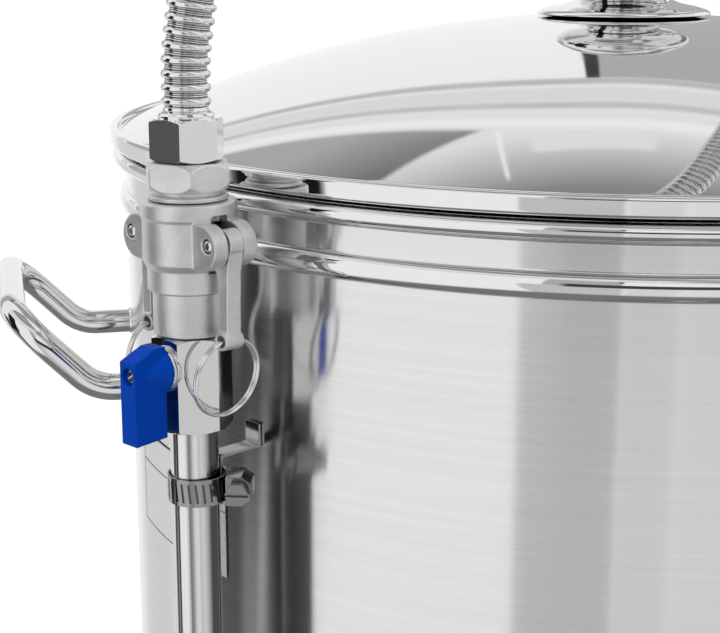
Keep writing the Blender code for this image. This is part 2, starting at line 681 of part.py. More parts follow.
def make_cam_details(riser, side, word):
    pin = rod("cam_pin_" + word, CAM_PIN_R, (-0.0086, 0, 0), (0.0086, 0, 0))
    pin.location = (0, side * CAM_PIN_T, CAM_PIN_Z)
    keep(pin, BRUSHED, riser)
    eye_y, eye_z = side * (CAM_PIN_T + EYE_OUT), CAM_PIN_Z + EYE_DOWN
    turns = [2 * math.pi * i / 32 for i in range(32)]
    lift, lean = 0.00025, -side * math.tan(RING_TILT)
    drops = [RING_R * (1 - math.cos(a)) for a in turns]
    route = [(RING_R * math.sin(a), drop * lean, lift - drop) for a, drop in zip(turns, drops)]
    ring = poly_curve("pull_ring_" + word, route, RING_WIRE, 1, closed=True)
    ring.location = (0, eye_y, eye_z)
    keep(ring, POLISHED, riser)


def make_hose_end(frame, hex_name, nut_name):
    """The hex nipple screwed into the coupler, and the hose's union nut on it."""
    nipple = hexagon(hex_name, 0.0250, HEX_LOW, HEX_TOP, 0.0058, 0.0016, HEX_TWIST, frame)
    keep(nipple, CAST, frame)
    tail = turned(
        hex_name + "_tail",
        [(0.0058, HEX_LOW + 0.002), (0.0126, HEX_LOW + 0.002), (0.0126, COUPLER_TOP + CLEAR),
         (0.0086, COUPLER_TOP + CLEAR), (0.0086, -0.0060), (0.0058, -0.0060)], MEDIUM, ring=True)
    join(nipple, tail, frame)
    make_union_nut(frame, nut_name, NUT_LOW, NUT_TOP, NUT_TWIST)


def make_union_nut(frame, name, low, high, twist):
    """A hex nut whose collar closes round the hose. The collar is at the end nearer high."""
    collar = 0.0022 if high > low else -0.0022
    shoulder = high - collar
    nut = hexagon(name, 0.0212, min(low, shoulder), max(low, shoulder), 0.0062, 0.0008, twist, frame)
    keep(nut, POLISHED, frame)
    ends = sorted((shoulder - collar / 4, high))
    lip = turned(
        name + "_lip", [(0.0062, ends[1]), (0.0088, ends[1]), (0.0088, ends[0]), (0.0062, ends[0])],
        MEDIUM, ring=True)
    join(nut, lip, frame)


# ---------------------------------------------------------------- return port and hose
RETURN_TOP = -0.0200                 # the hose's lower end, from the rim plane
RETURN_PORT_Z = -0.0650
HOSE_ROUTE = [
    # up out of the riser's nut and over towards the knob
    (-0.1921, -0.1217, 0.0285), (-0.1911, -0.1219, 0.0500), (-0.1850, -0.1232, 0.0760),
    (-0.1665, -0.1270, 0.1010), (-0.1330, -0.1335, 0.1155), (-0.0930, -0.1410, 0.1180),
    # past the knob, above the dome
    (-0.0520, -0.1405, 0.1180), (-0.0170, -0.1235, 0.1180), (0.0130, -0.0930, 0.1170),
    (0.0400, -0.0570, 0.1170), (0.0680, -0.0130, 0.1170), (0.0960, 0.0380, 0.1170),
    # down outside the back of the rim into the return nut
    (0.1220, 0.0860, 0.1150), (0.1460, 0.1300, 0.1030), (0.1590, 0.1540, 0.0810),
    (0.1638, 0.1632, 0.0530), (0.1645, 0.1645, 0.0200), (0.1645, 0.1645, -0.0197),
]


def make_return(back):
    """The hose's other end: a union nut and an elbow that passes through the kettle's wall."""
    make_union_nut(back, "return_nut", RETURN_TOP - 0.0160, RETURN_TOP, RETURN_TWIST)
    inside = KETTLE_IN_R - RETURN_R - 0.0060
    route = bent([(0, 0, RETURN_TOP - 0.0163), (0, 0, RETURN_PORT_Z), (inside, 0, RETURN_PORT_Z)], 0.014, 6)
    keep(tube("return_elbow", route, 0.0079, 0.0014), POLISHED, back)


def make_hose():
    points = [(x, y, z + RIM_Z) for x, y, z in HOSE_ROUTE]
    route = smooth(points, 27)
    keep(poly_curve("recirculation_hose", route, HOSE_R, 2), POLISHED)


# ---------------------------------------------------------------- lid
def lid_height(radius):
    """The height of the dome's outer face above the rim plane, at a distance from the axis."""
    edge, edge_z = 0.2020, 0.0060
    ball = (edge**2 + LID_RISE**2) / (2 * LID_RISE)
    return edge_z + math.sqrt(ball**2 - radius**2) - (ball - LID_RISE)


def make_lid(lid):
    thick, hole, edge = 0.0009, 0.0036, 0.2030
    stations = [hole + (edge - hole) * i / 6 for i in range(7)]
    over = [(r, lid_height(r)) for r in stations]
    under = [(r, lid_height(r) - thick) for r in reversed(stations)]
    keep(turned("lid_dome", over + under, FINE, ring=True), POLISHED, lid)
    mid, half_w, low, high = LID_R - 0.0017, 0.0017, 0.0009, 0.0080
    section = arc(mid, high - half_w, half_w, 180, 0, 3) + arc(mid, low + half_w, half_w, 0, -180, 3)
    keep(turned("lid_rim", section, FINE, ring=True), POLISHED, lid)


NECK = 0.0130              # height of the knob's neck above the dome


def make_knob(lid):
    top = lid_height(0)
    flange_z = lid_height(0.035) + CLEAR + 0.0004
    hole = 0.0036
    base = turned(
        "knob_base",
        [(hole, top + NECK), (0.0150, top + NECK), (0.0162, top + 0.0095), (0.0180, top + 0.0065),
         (0.0225, top + 0.0042), (0.0340, flange_z + 0.0018), (0.0350, flange_z + 0.0008),
         (0.0346, flange_z), (0.0200, lid_height(0.020) + CLEAR), (hole, top + CLEAR)],
        MEDIUM, ring=True)
    keep(base, POLISHED, lid)
    low = top + NECK + CLEAR
    cap = turned(
        "knob_cap",
        [(0, low + 0.0205), (0.0130, low + 0.0196), (0.0230, low + 0.0160), (0.0285, low + 0.0095),
         (0.0280, low + 0.0050), (0.0230, low + 0.0015), (0.0160, low), (hole, low),
         (hole, low + 0.0090), (0, low + 0.0090)],
        MEDIUM)
    keep(cap, POLISHED, lid)
    shank, head = 0.0031, 0.0110
    under = lid_height(hole) - 0.0009 - CLEAR
    screw = turned(
        "lid_screw",
        [(0, low + 0.0080), (shank, low + 0.0080), (shank, under - 0.0004), (head, under - 0.0004),
         (head, under - 0.0016), (0.0060, under - 0.0016), (0.0050, under - 0.0050), (0, under - 0.0050)],
        COARSE)
    keep(screw, POLISHED, lid)


# ---------------------------------------------------------------- drain tap
TAP_FACE = -KETTLE_R - CLEAR
TAP_END = -0.2660
TAP_STEM_Y = -0.2340


def make_tap(front):
    """A ball valve on the front wall: tail through the wall, round body, threaded outlet."""
    length = TAP_FACE - TAP_END
    stem = TAP_FACE - TAP_STEM_Y
    body = turned(
        "tap_body",
        [(0.0075, length), (0.0103, length), (0.0103, length - 0.014), (0.0128, length - 0.015),
         (0.0128, length - 0.020), (0.0150, stem + 0.009), (0.0165, stem), (0.0150, stem - 0.009),
         (0.0125, stem - 0.015), (0.0125, 0.006), (0.0165, 0.006), (0.0165, 0.0),
         (0.0104, 0.0), (0.0104, -0.016), (0.0075, -0.016), (0.0075, stem - 0.009), (0.0112, stem - 0.008),
         (0.0112, stem + 0.008), (0.0075, stem + 0.009)], MEDIUM, ring=True)
    keep(body, BRUSHED, front)
    join(body, rod("tap_boss", 0.0065, (0, 0.0135, stem), (0, 0.0205, stem), COARSE), front)
    cut(body, rod("tap_stem_hole", 0.0033, (0, 0.008, stem), (0, 0.030, stem)), front)
    ball = rod("tap_ball", 0.0028, (0, 0, 0), (0, 0.0265, 0))
    ball.location = (0, 0, stem)
    keep(ball, POLISHED, front)
    sphere = new_object("tap_sphere", bpy.data.meshes.new("tap_sphere"))
    shape = bmesh.new()
    bmesh.ops.create_uvsphere(shape, u_segments=12, v_segments=8, radius=0.0100)
    shape.to_mesh(sphere.data)
    shape.free()
    sphere.location = (0, 0, stem)
    join(ball, sphere, front)
    cut(ball, rod("tap_ball_bore", 0.0060, (-0.02, 0, stem), (0.02, 0, stem), 12), front)
    lever = block("tap_lever", (-0.009, 0.0210, -0.009), (0.080, 0.0245, 0.009), 0.0010)
    lever.location = (0, 0, stem)
    keep(lever, POLISHED, front)
    cut(lever, rod("lever_hole", 0.0031, (0, 0.03, stem), (0, 0.01, stem)), front)
    grip = block("tap_grip", (0.0320, 0.0180, -0.0110), (0.0850, 0.0275, 0.0110), 0.0025)
    grip.location = (0, 0, stem)
    keep(grip, BLUE, front)
    cut(grip, block("grip_slot", (0.02, 0.0207, stem - 0.0093), (0.0803, 0.0248, stem + 0.0093)), front)


# ---------------------------------------------------------------- malt basket
BASKET_R, BASKET_LOW, BASKET_TOP = 0.1800, 0.1500, 0.6000


def make_basket(basket):
    wall, ledge = 0.0010, BASKET_R - 0.010
    tube_wall = turned(
        "basket_wall",
        [(BASKET_R - wall, BASKET_TOP), (BASKET_R, BASKET_TOP), (BASKET_R, BASKET_LOW),
         (ledge, BASKET_LOW), (ledge, BASKET_LOW + wall), (BASKET_R - wall, BASKET_LOW + wall)],
        FINE, ring=True)
    keep(tube_wall, BRUSHED, basket)
    for side in (-1, 1):
        cut(tube_wall, block(f"basket_grip_{side}", (side * 0.18 - 0.02, -0.045, BASKET_TOP - 0.045),
                             (side * 0.18 + 0.02, 0.045, BASKET_TOP - 0.020)), basket)
    floor, middle, edge, hole = BASKET_LOW + wall + CLEAR, 0.0125, BASKET_R - 0.002, 0.010
    sieve = turned(
        "basket_sieve",
        [(middle, floor + wall), (edge, floor + wall), (edge, floor), (middle, floor)], MEDIUM, ring=True)
    keep(sieve, BRUSHED, basket)
    for ring_r, count in ((0.070, 6), (0.135, 12)):
        for i in range(count):
            angle = 2 * math.pi * (i + 0.31) / count
            x, y = ring_r * math.cos(angle), ring_r * math.sin(angle)
            punch = rod(f"sieve_hole_{ring_r}_{i}", hole, (x, y, floor - 0.01), (x, y, floor + 0.01), 6)
            cut(sieve, punch, basket)


def make_basket_stand():
    """An inverted pan that carries the basket clear of the probe and the pump's inlet."""
    top, low, inner, outer, wall = BASKET_LOW - CLEAR, FLOOR_Z + WALL + CLEAR, 0.150, 0.1740, 0.0012
    stand = turned(
        "basket_stand",
        [(inner, top), (outer, top), (outer, low), (outer - wall, low), (outer - wall, top - wall),
         (inner, top - wall)],
        FINE, ring=True)
    keep(stand, BRUSHED)
    for i in range(4):
        port = rod(f"stand_port_{i}", 0.012, (0, 0, low + 0.018), (0, 0.25, low + 0.018), 8)
        port.rotation_euler = (0, 0, math.radians(90 * i + 20))
        cut(stand, port)


# ---------------------------------------------------------------- assembly
def build():
    riser = frame_at("riser_frame", RISER_R, RISER_ANGLE, RIM_Z)
    pump = frame_at("pump_frame", PUMP_R, RISER_ANGLE, 0)
    back = frame_at("return_frame", RETURN_R, RETURN_ANGLE, RIM_Z)
    lid = frame_at("lid_frame", 0, 0, RIM_Z)
    basket = frame_at("basket_frame", 0, 0, 0)
    front = frame_at("tap_frame", 0, 0, 0)
    front.location = (0, TAP_FACE, TAP_Z)
    front.rotation_euler = (math.pi / 2, 0, 0)

    make_shell(pump, back)
    make_handle("handle_left", -1)
    make_handle("handle_right", 1)
    make_base(riser, pump)
    make_control_box()
    make_power_inlet()
    make_heater_and_probe()
    make_pump(pump)
    make_recirculation_pipe(riser)
    make_bracket(riser)
    make_clamp(riser)
    make_valve(riser)
    make_adapter(riser)
    make_coupler(riser)
    for side, word in ((1, "right"), (-1, "left")):
        make_cam_arm(riser, "cam_arm_" + word, side)
        make_cam_details(riser, side, word)
    make_hose_end(riser, "hose_nipple", "hose_nut")
    make_hose()
    make_return(back)
    make_lid(lid)
    make_knob(lid)
    make_tap(front)
    make_basket(basket)
    make_basket_stand()


build()
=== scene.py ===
"""Looks of the brew kettle: finished surfaces, detailed fittings, a studio and the camera.

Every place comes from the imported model. Lengths are metres. The riser's own axes are used for its
fittings: X points away from the kettle, Y along the wall to the front, Z up from the rim's plane.
"""

import json
import math

import bmesh
import bpy
from mathutils import Matrix, Vector


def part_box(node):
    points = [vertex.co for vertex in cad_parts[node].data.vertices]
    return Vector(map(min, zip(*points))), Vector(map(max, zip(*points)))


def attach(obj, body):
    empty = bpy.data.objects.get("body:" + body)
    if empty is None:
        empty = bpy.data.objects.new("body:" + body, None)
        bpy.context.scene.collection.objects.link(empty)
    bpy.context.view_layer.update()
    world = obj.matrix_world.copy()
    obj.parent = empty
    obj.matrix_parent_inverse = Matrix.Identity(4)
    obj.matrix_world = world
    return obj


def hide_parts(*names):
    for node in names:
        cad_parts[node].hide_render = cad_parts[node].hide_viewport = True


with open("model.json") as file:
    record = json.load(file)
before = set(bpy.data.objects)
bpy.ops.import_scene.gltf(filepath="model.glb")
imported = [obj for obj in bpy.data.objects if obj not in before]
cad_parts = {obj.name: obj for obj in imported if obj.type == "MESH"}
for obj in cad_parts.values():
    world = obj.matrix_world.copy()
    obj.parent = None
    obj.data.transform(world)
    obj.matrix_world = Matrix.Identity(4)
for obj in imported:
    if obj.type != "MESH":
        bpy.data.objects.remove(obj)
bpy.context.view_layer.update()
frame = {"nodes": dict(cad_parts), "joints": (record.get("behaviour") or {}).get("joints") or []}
JOINTS = {joint["name"]: joint for joint in frame["joints"]}
NODES = frame["nodes"]

RIM_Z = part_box("lid_rim")[0].z - 0.0009
KETTLE_R = 0.2012    # the wall's outside
LID_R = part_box("lid_rim")[1].x
UP = Vector((0, 0, 1))
QUARTER = math.pi / 2
THROUGH = 0.02    # long enough for a drill to pass right through a fitting
DENSE_MESH = 30000    # faces, from which a piece is too fine to need its large faces kept flat


def axes_at(place, outward):
    """A matrix whose X points outward and Z up, with its origin at a place."""
    out = Vector(outward).normalized()
    along = UP.cross(out)
    return Matrix.Translation(place) @ Matrix((out, along, UP)).transposed().to_4x4()


STEM = Vector(JOINTS["recirc_valve_turn"]["pos_m"])
RISER = axes_at((STEM.x, STEM.y, RIM_Z), JOINTS["recirc_valve_turn"]["axis"])
STEM_Z = STEM.z - RIM_Z
STEM_R = Vector((STEM.x, STEM.y)).length
PIPE_R = 0.0079
RETURN_R, RETURN_ANGLE = 0.2326, math.radians(45)
RETURN = axes_at(
    (RETURN_R * math.cos(RETURN_ANGLE), RETURN_R * math.sin(RETURN_ANGLE), RIM_Z),
    (math.cos(RETURN_ANGLE), math.sin(RETURN_ANGLE), 0),
)
LID = Matrix.Translation((0, 0, RIM_Z))
WORLD = Matrix.Identity(4)


# ---------------------------------------------------------------- camera
def make_camera():
    """A long lens a little above the rim, looking down past the riser."""
    data = bpy.data.cameras.new("camera")
    data.sensor_width = 36
    data.lens = 79.86
    data.clip_start = 0.02
    camera = new_object("camera", data)
    camera.location = (-0.2494, -0.6173, RIM_Z + 0.0815)
    camera.rotation_euler = (math.radians(76.44), 0, math.radians(-12.8))
    bpy.context.scene.camera = camera


# ---------------------------------------------------------------- materials
def new_material(name, colour, metallic, roughness):
    """A material with its shader's colour, metal and roughness set."""
    made = bpy.data.materials.new(name)
    made.use_nodes = True
    shader = made.node_tree.nodes["Principled BSDF"]
    shader.inputs["Base Color"].default_value = (*colour, 1)
    shader.inputs["Metallic"].default_value = metallic
    shader.inputs["Roughness"].default_value = roughness
    return made, made.node_tree, shader


def node(tree, kind, inputs=None, **settings):
    """A new node with its settings, and its inputs set or linked."""
    made = tree.nodes.new(kind)
    for key, value in settings.items():
        setattr(made, key, value)
    for key, value in (inputs or {}).items():
        if isinstance(value, bpy.types.NodeSocket):
            tree.links.new(value, made.inputs[key])
        else:
            made.inputs[key].default_value = value
    return made


def place(tree, scale):
    """The object's own coordinates, stretched by a scale along each axis."""
    where = node(tree, "ShaderNodeTexCoord").outputs["Object"]
    return node(tree, "ShaderNodeMapping", {"Vector": where, "Scale": scale}).outputs["Vector"]


def noise(tree, scale, size=1.0, detail=3.0, rough=0.6):
    """Smooth noise between 0 and 1. The scale has cells per metre, along each axis or along all."""
    cells = scale if isinstance(scale, tuple) else (scale, scale, scale)
    inputs = {"Vector": place(tree, cells), "Scale": size, "Detail": detail, "Roughness": rough}
    return node(tree, "ShaderNodeTexNoise", inputs).outputs["Fac"]


def between(tree, value, low, high, start=0.3, end=0.7):
    """Runs from low to high while the value runs from start to end."""
    made = node(tree, "ShaderNodeMapRange", {"Value": value, "From Min": start, "From Max": end,
                                             "To Min": low, "To Max": high})
    return made.outputs["Result"]


def tint(tree, value, dark, light):
    """A colour between dark and light, by a value between 0 and 1."""
    made = node(tree, "ShaderNodeMix", data_type="RGBA")
    tree.links.new(value, made.inputs["Factor"])
    made.inputs["A"].default_value = (*dark, 1)
    made.inputs["B"].default_value = (*light, 1)
    return made.outputs["Result"]


def bump(tree, shader, height, depth, strength=1.0, under=None):
    """Raises the surface by a height in metres, over an earlier bump if there is one."""
    inputs = {"Height": height, "Distance": depth, "Strength": strength}
    if under is not None:
        inputs["Normal"] = under
    made = node(tree, "ShaderNodeBump", inputs)
    tree.links.new(made.outputs["Normal"], shader.inputs["Normal"])
    return made.outputs["Normal"]


def calc(tree, kind, *inputs):
    """One step of arithmetic on values and sockets."""
    return node(tree, "ShaderNodeMath", dict(enumerate(inputs)), operation=kind).outputs[0]


def inside(tree, value, low, high, soft):
    """1 between low and high, falling to 0 over a soft edge."""
    rise = between(tree, value, 0.0, 1.0, low - soft, low + soft)
    fall = between(tree, value, 0.0, 1.0, high + soft, high - soft)
    return calc(tree, "MULTIPLY", rise, fall)


def grey(level, warmth=0.005):
    """A grey with a trace less blue."""
    return level, level, level - warmth


def roughen(tree, shader, value, low, high):
    tree.links.new(between(tree, value, low, high), shader.inputs["Roughness"])


def paint(tree, shader, value, dark, light, start=0.3, end=0.7):
    """Colours a surface from dark to light while the value runs from start to end."""
    share = between(tree, value, 0, 1, start, end)
    tree.links.new(tint(tree, share, dark, light), shader.inputs["Base Color"])


def brush_round(tree, shader, amount):
    """Fine lines round the Z axis, which smear reflections up and down."""
    shader.inputs["Anisotropic"].default_value = amount
    shader.inputs["Anisotropic Rotation"].default_value = 0.25
    tangent = node(tree, "ShaderNodeTangent", direction_type="RADIAL", axis="Z")
    tree.links.new(tangent.outputs["Tangent"], shader.inputs["Tangent"])


def wall_steel():
    """Stainless sheet brushed round the kettle, with faint bands and a slow change of gloss."""
    made, tree, shader = new_material("brushed_wall", grey(0.78), 1.0, 0.16)
    lines = noise(tree, (4, 4, 2200), detail=4)
    broad = noise(tree, (5, 5, 420), detail=2)
    smear = noise(tree, (7, 7, 4))
    rough = calc(tree, "ADD", between(tree, lines, 0.145, 0.170), between(tree, smear, -0.006, 0.006))
    tree.links.new(rough, shader.inputs["Roughness"])
    paint(tree, shader, calc(tree, "MULTIPLY", lines, broad), grey(0.750), grey(0.806), 0.12, 0.42)
    bump(tree, shader, lines, 0.000002, 0.15)
    brush_round(tree, shader, 0.97)
    return made


def mirror_steel(name="mirror_steel", roughness=0.035, level=0.84, waves=0.00012):
    """Buffed stainless: a mirror with faint polishing haze and a slight unevenness."""
    made, tree, shader = new_material(name, grey(level, 0), 1.0, roughness)
    haze = noise(tree, 38, detail=5)
    roughen(tree, shader, haze, roughness * 0.6, roughness * 1.7)
    paint(tree, shader, haze, grey(level * 0.955, 0), grey(level, 0), 0, 1)
    bump(tree, shader, noise(tree, 14, detail=1), waves, 0.5)
    return made


def buffed_steel():
    """Bar stock buffed after machining: a mirror under a thin grey haze."""
    made = mirror_steel("buffed_steel", 0.05, 0.84, 0.00003)
    made.node_tree.nodes["Principled BSDF"].inputs["Metallic"].default_value = 0.94
    return made


def drawn_tube():
    """Drawn steel tube: long streaks and a sheen along it, painted shade on the side that faces the kettle
    and a narrow painted dark reflection along it.
    """
    made, tree, shader = new_material("drawn_tube", grey(0.78), 1.0, 0.15)
    rings = noise(tree, (50, 50, 1400))
    streaks = noise(tree, (700, 700, 6))
    roughen(tree, shader, rings, 0.12, 0.17)
    steel = tint(tree, between(tree, streaks, 0, 1), grey(0.74), grey(0.80))
    where = node(tree, "ShaderNodeTexCoord").outputs["Object"]
    x, y, _ = node(tree, "ShaderNodeSeparateXYZ", {"Vector": where}).outputs
    turn = calc(tree, "DEGREES", calc(tree, "ARCTAN2", y, x))
    # Painted dark reflection: a narrow stripe along the tube, 31 to 43 degrees round from X, is darkened.
    seam = inside(tree, turn, 31.0, 43.0, 5.0)
    # Painted shade: the half turned towards the kettle, from 70 to 90 degrees and more away from X, is
    # darkened.
    away = between(tree, calc(tree, "ABSOLUTE", turn), 0.0, 1.0, 70.0, 90.0)
    for mask, shade in ((seam, 0.42), (away, 0.14)):
        darker = node(tree, "ShaderNodeMix", data_type="RGBA", blend_type="MULTIPLY")
        tree.links.new(mask, darker.inputs["Factor"])
        tree.links.new(steel, darker.inputs["A"])
        darker.inputs["B"].default_value = (*grey(shade, 0), 1)
        steel = darker.outputs["Result"]
    tree.links.new(steel, shader.inputs["Base Color"])
    brush_round(tree, shader, 0.9)
    return made


def turned_steel():
    """Machined bar stock: fine rings round the riser's axis and small bright wear marks."""
    made, tree, shader = new_material("turned_steel", grey(0.80), 1.0, 0.14)
    rings = noise(tree, (60, 60, 3600))
    roughen(tree, shader, rings, 0.098, 0.21)
    paint(tree, shader, noise(tree, 420, detail=5), grey(0.744), grey(0.80))
    bump(tree, shader, rings, 0.000012, 0.4)
    return made


def cast_steel():
    """Investment-cast stainless, blasted: a satin skin with a fine sandy grain and shallow dents."""
    made, tree, shader = new_material("cast_steel", grey(0.80, 0.01), 1.0, 0.42)
    grain = noise(tree, 1500, detail=4, rough=0.7)
    cloud = noise(tree, 90)
    roughen(tree, shader, grain, 0.34, 0.52)
    stain = calc(tree, "MULTIPLY", grain, cloud)
    paint(tree, shader, stain, grey(0.70, 0.01), grey(0.86, 0.01), 0.14, 0.38)
    dents = bump(tree, shader, noise(tree, 420, detail=4), 0.00010, 0.5)
    bump(tree, shader, grain, 0.00008, 0.75, dents)
    return made


def moulded(name, colour, roughness=0.42, pale=1.6, grain=0.00006, scale=1400.0, specular=0.5):
    """Moulded plastic or rubber: a fine pebbled skin, with dusty lighter patches."""
    made, tree, shader = new_material(name, colour, 0.0, roughness)
    pebble = noise(tree, scale)
    roughen(tree, shader, pebble, roughness * 0.85, roughness * 1.2)
    light = tuple(min(1.0, c * pale) for c in colour)
    paint(tree, shader, noise(tree, 40, detail=5), colour, light, 0.42, 0.75)
    bump(tree, shader, pebble, grain, 0.4)
    shader.inputs["Specular IOR Level"].default_value = specular
    return made


def smoked_window():
    """A dark display pane with a polished coat and faint wiping marks."""
    made, tree, shader = new_material("smoked_window", (0.015, 0.018, 0.020), 0.0, 0.06)
    roughen(tree, shader, noise(tree, 60, detail=5), 0.03, 0.12)
    shader.inputs["Coat Weight"].default_value = 0.6
    shader.inputs["Coat Roughness"].default_value = 0.03
    return made


def sticker():
    """A plain satin foil label, with no print on it."""
    made, tree, shader = new_material("label_foil", grey(0.62, 0.01), 0.65, 0.32)
    fibre = noise(tree, 900)
    roughen(tree, shader, fibre, 0.26, 0.40)
    paint(tree, shader, fibre, grey(0.60, 0.01), grey(0.68, 0.01), 0, 1)
    bump(tree, shader, fibre, 0.00001, 0.2)
    return made


WALL = wall_steel()
MIRROR = mirror_steel()
POLISHED = mirror_steel("polished_steel", 0.07, 0.82, 0.00004)
TURNED = turned_steel()
PIPE_STEEL = drawn_tube()
BUFFED = buffed_steel()
# The clamp's and the bracket's mirror steel is darkened to a level of 0.34: a painted dark reflection, darker
# than bare stainless.
CLAMP_STEEL_DARK_REFLECTION = mirror_steel("clamp_strip_dark_reflection", 0.12, 0.34, 0.00020)
CAST = cast_steel()
BLUE = moulded("blue_vinyl", (0.0, 0.029, 0.235), 0.30, pale=1.08, grain=0.000006, scale=1100.0,
               specular=0.03)
GROOVE = mirror_steel("shadowed_groove", 0.20, 0.12, 0.00001)
BLACK = moulded("black_plastic", (0.014, 0.014, 0.015), 0.40, pale=1.9)
RUBBER = moulded("black_rubber", grey(0.020, 0), 0.72, pale=1.8, grain=0.00012, scale=700.0, specular=0.3)
WHITE = moulded("white_plastic", grey(0.56, 0.02), 0.38, pale=1.08)
DARK_PRINT = moulded("dark_print", grey(0.05, 0), 0.5, pale=1.4)
LAMINATE = moulded("green_laminate", (0.010, 0.100, 0.035), 0.35, pale=1.5)
WINDOW = smoked_window()
FOIL = sticker()


# ---------------------------------------------------------------- shapes
def new_object(name, mesh):
    """Puts a mesh, curve, light or camera into the scene."""
    made = bpy.data.objects.new(name, mesh)
    bpy.context.scene.collection.objects.link(made)
    return made


def smooth_object(name, shape):
    """Turns a finished bmesh into a smooth-shaded object."""
    for face in shape.faces:
        face.smooth = True
    mesh = bpy.data.meshes.new(name)
    shape.to_mesh(mesh)
    shape.free()
    return new_object(name, mesh)


def face_normals(piece, weight=50):
    """Large faces keep their own direction, so that only the small ones at the edges turn."""
    step = piece.modifiers.new("large_faces_first", "WEIGHTED_NORMAL")
    step.weight = weight
    step.keep_sharp = True


def finish_piece(piece, look, body, matrix=WORLD, replaces=()):
    """Gives a piece its material and place, and lets it ride on a body."""
    piece.data.materials.clear()
    piece.data.materials.append(look)
    if piece.type == "MESH" and len(piece.data.polygons) < DENSE_MESH:
        face_normals(piece, 80)
    piece.matrix_world = matrix @ piece.matrix_world
    bpy.context.view_layer.update()
    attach(piece, body)
    if replaces:
        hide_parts(*replaces)
    return piece


def put(piece, where=(0, 0, 0), turn=0.0, axis="Z"):
    """Turns a piece's mesh about an axis, then shifts it."""
    piece.data.transform(Matrix.Translation(where) @ Matrix.Rotation(turn, 4, axis))
    return piece


def rounded(profile, radius, steps=3, ring=True):
    """A profile with each corner turned into a small arc, no larger than its neighbours allow."""
    points = [Vector(p) for p in profile]
    count = len(points)
    made = []
    for i, here in enumerate(points):
        if not ring and i in (0, count - 1):
            made.append(here)
            continue
        before, after = points[i - 1], points[(i + 1) % count]
        a, b = before - here, after - here
        corner = a.angle(b, math.pi)
        if corner > math.radians(172) or min(a.length, b.length) < 1e-6:
            made.append(here)
            continue
        reach = min(radius / math.tan(corner / 2), a.length * 0.45, b.length * 0.45)
        first, last = here + a.normalized() * reach, here + b.normalized() * reach
        for k in range(steps + 1):
            t = k / steps
            made.append(first * (1 - t) ** 2 + here * 2 * t * (1 - t) + last * t**2)
    return [tuple(p) for p in made]


def turned(name, profile, soft=0.0003, facets=96, ring=True, steps=3):
    """A profile of (radius, height) turned about Z, with softened corners."""
    points = rounded(profile, soft, steps, ring) if soft else list(profile)
    shape = bmesh.new()
    loops = []
    for k in range(facets):
        angle = 2 * math.pi * k / facets
        c, s = math.cos(angle), math.sin(angle)
        loops.append([shape.verts.new((r * c, r * s, z)) if r > 1e-7 or k == 0 else None for r, z in points])
    for i, (r, _) in enumerate(points):
        if r <= 1e-7:
            for loop in loops:
                loop[i] = loops[0][i]
    last = len(points) if ring else len(points) - 1
    for k in range(facets):
        here, there = loops[k], loops[(k + 1) % facets]
        for i in range(last):
            j = (i + 1) % len(points)
            corners = []
            for v in (here[i], here[j], there[j], there[i]):
                if v not in corners:
                    corners.append(v)
            if len(corners) > 2:
                shape.faces.new(corners)
    bmesh.ops.recalc_face_normals(shape, faces=shape.faces)
    return smooth_object(name, shape)


def on_curve(a, b, c, d, t):
    """A point on the smooth curve from b to c, where a and d are the points before and after."""
    return 0.5 * (2 * b + (c - a) * t + (2 * a - 5 * b + 4 * c - d) * t**2 + (3 * b - a - 3 * c + d) * t**3)


def flowing(guide, steps=6):
    """A smooth profile through the guide's points. Its first and last only set the ends' directions."""
    points = [Vector(p) for p in guide]
    made = []
    for a, b, c, d in zip(points, points[1:], points[2:], points[3:]):
        for i in range(steps):
            made.append(on_curve(a, b, c, d, i / steps))
    made.append(points[-2])
    return [(max(0.0, p.x), p.y) for p in made]


def arc(cx, cz, radius, start, end, count):
    """Points on part of a circle, between two angles in degrees."""
    angles = [math.radians(start + (end - start) * i / count) for i in range(count + 1)]
    return [(cx + radius * math.cos(a), cz + radius * math.sin(a)) for a in angles]


def rod(name, radius, start, end, facets=48, end_radius=None, soft=0.0, twist=0.0):
    """A straight cylinder or cone between two points, with softened rims."""
    start, end = Vector(start), Vector(end)
    along = end - start
    tip = radius if end_radius is None else end_radius
    profile = [(0, 0), (radius, 0), (tip, along.length), (0, along.length)]
    piece = turned(name, profile, soft, facets, ring=False)
    turn = along.to_track_quat("Z", "Y").to_matrix().to_4x4() @ Matrix.Rotation(twist, 4, "Z")
    piece.data.transform(Matrix.Translation(start) @ turn)
    return piece


def block(name, low, high, soft=0.0, steps=3):
    """A box between two corners, with rounded edges."""
    shape = bmesh.new()
    bmesh.ops.create_cube(shape, size=1)
    for v in shape.verts:
        v.co = Vector((low[k] + (v.co[k] + 0.5) * (high[k] - low[k]) for k in range(3)))
    if soft:
        bmesh.ops.bevel(shape, geom=shape.edges[:], offset=soft, segments=steps, profile=0.5, affect="EDGES")
        piece = smooth_object(name, shape)
        face_normals(piece)
        return piece
    mesh = bpy.data.meshes.new(name)
    shape.to_mesh(mesh)
    shape.free()
    return new_object(name, mesh)


def soften(piece, width, steps=2, angle=35):
    """Rounds a piece's sharp edges."""
    edge = piece.modifiers.new("edge", "BEVEL")
    edge.width = width
    edge.segments = steps
    edge.limit_method = "ANGLE"
    edge.angle_limit = math.radians(angle)
    edge.harden_normals = False
    for face in piece.data.polygons:
        face.use_smooth = True
    face_normals(piece)
    return piece


def to_mesh(piece):
    """Applies a curve's or object's modifiers, and welds it into a plain mesh."""
    bpy.context.view_layer.update()
    ready = piece.evaluated_get(bpy.context.evaluated_depsgraph_get())
    mesh = bpy.data.meshes.new_from_object(ready)
    shape = bmesh.new()
    shape.from_mesh(mesh)
    bmesh.ops.remove_doubles(shape, verts=shape.verts, dist=1e-6)
    shape.to_mesh(mesh)
    shape.free()
    name, where = piece.name, piece.matrix_world.copy()
    bpy.data.objects.remove(piece, do_unlink=True)
    made = new_object(name, mesh)
    made.matrix_world = where
    return made


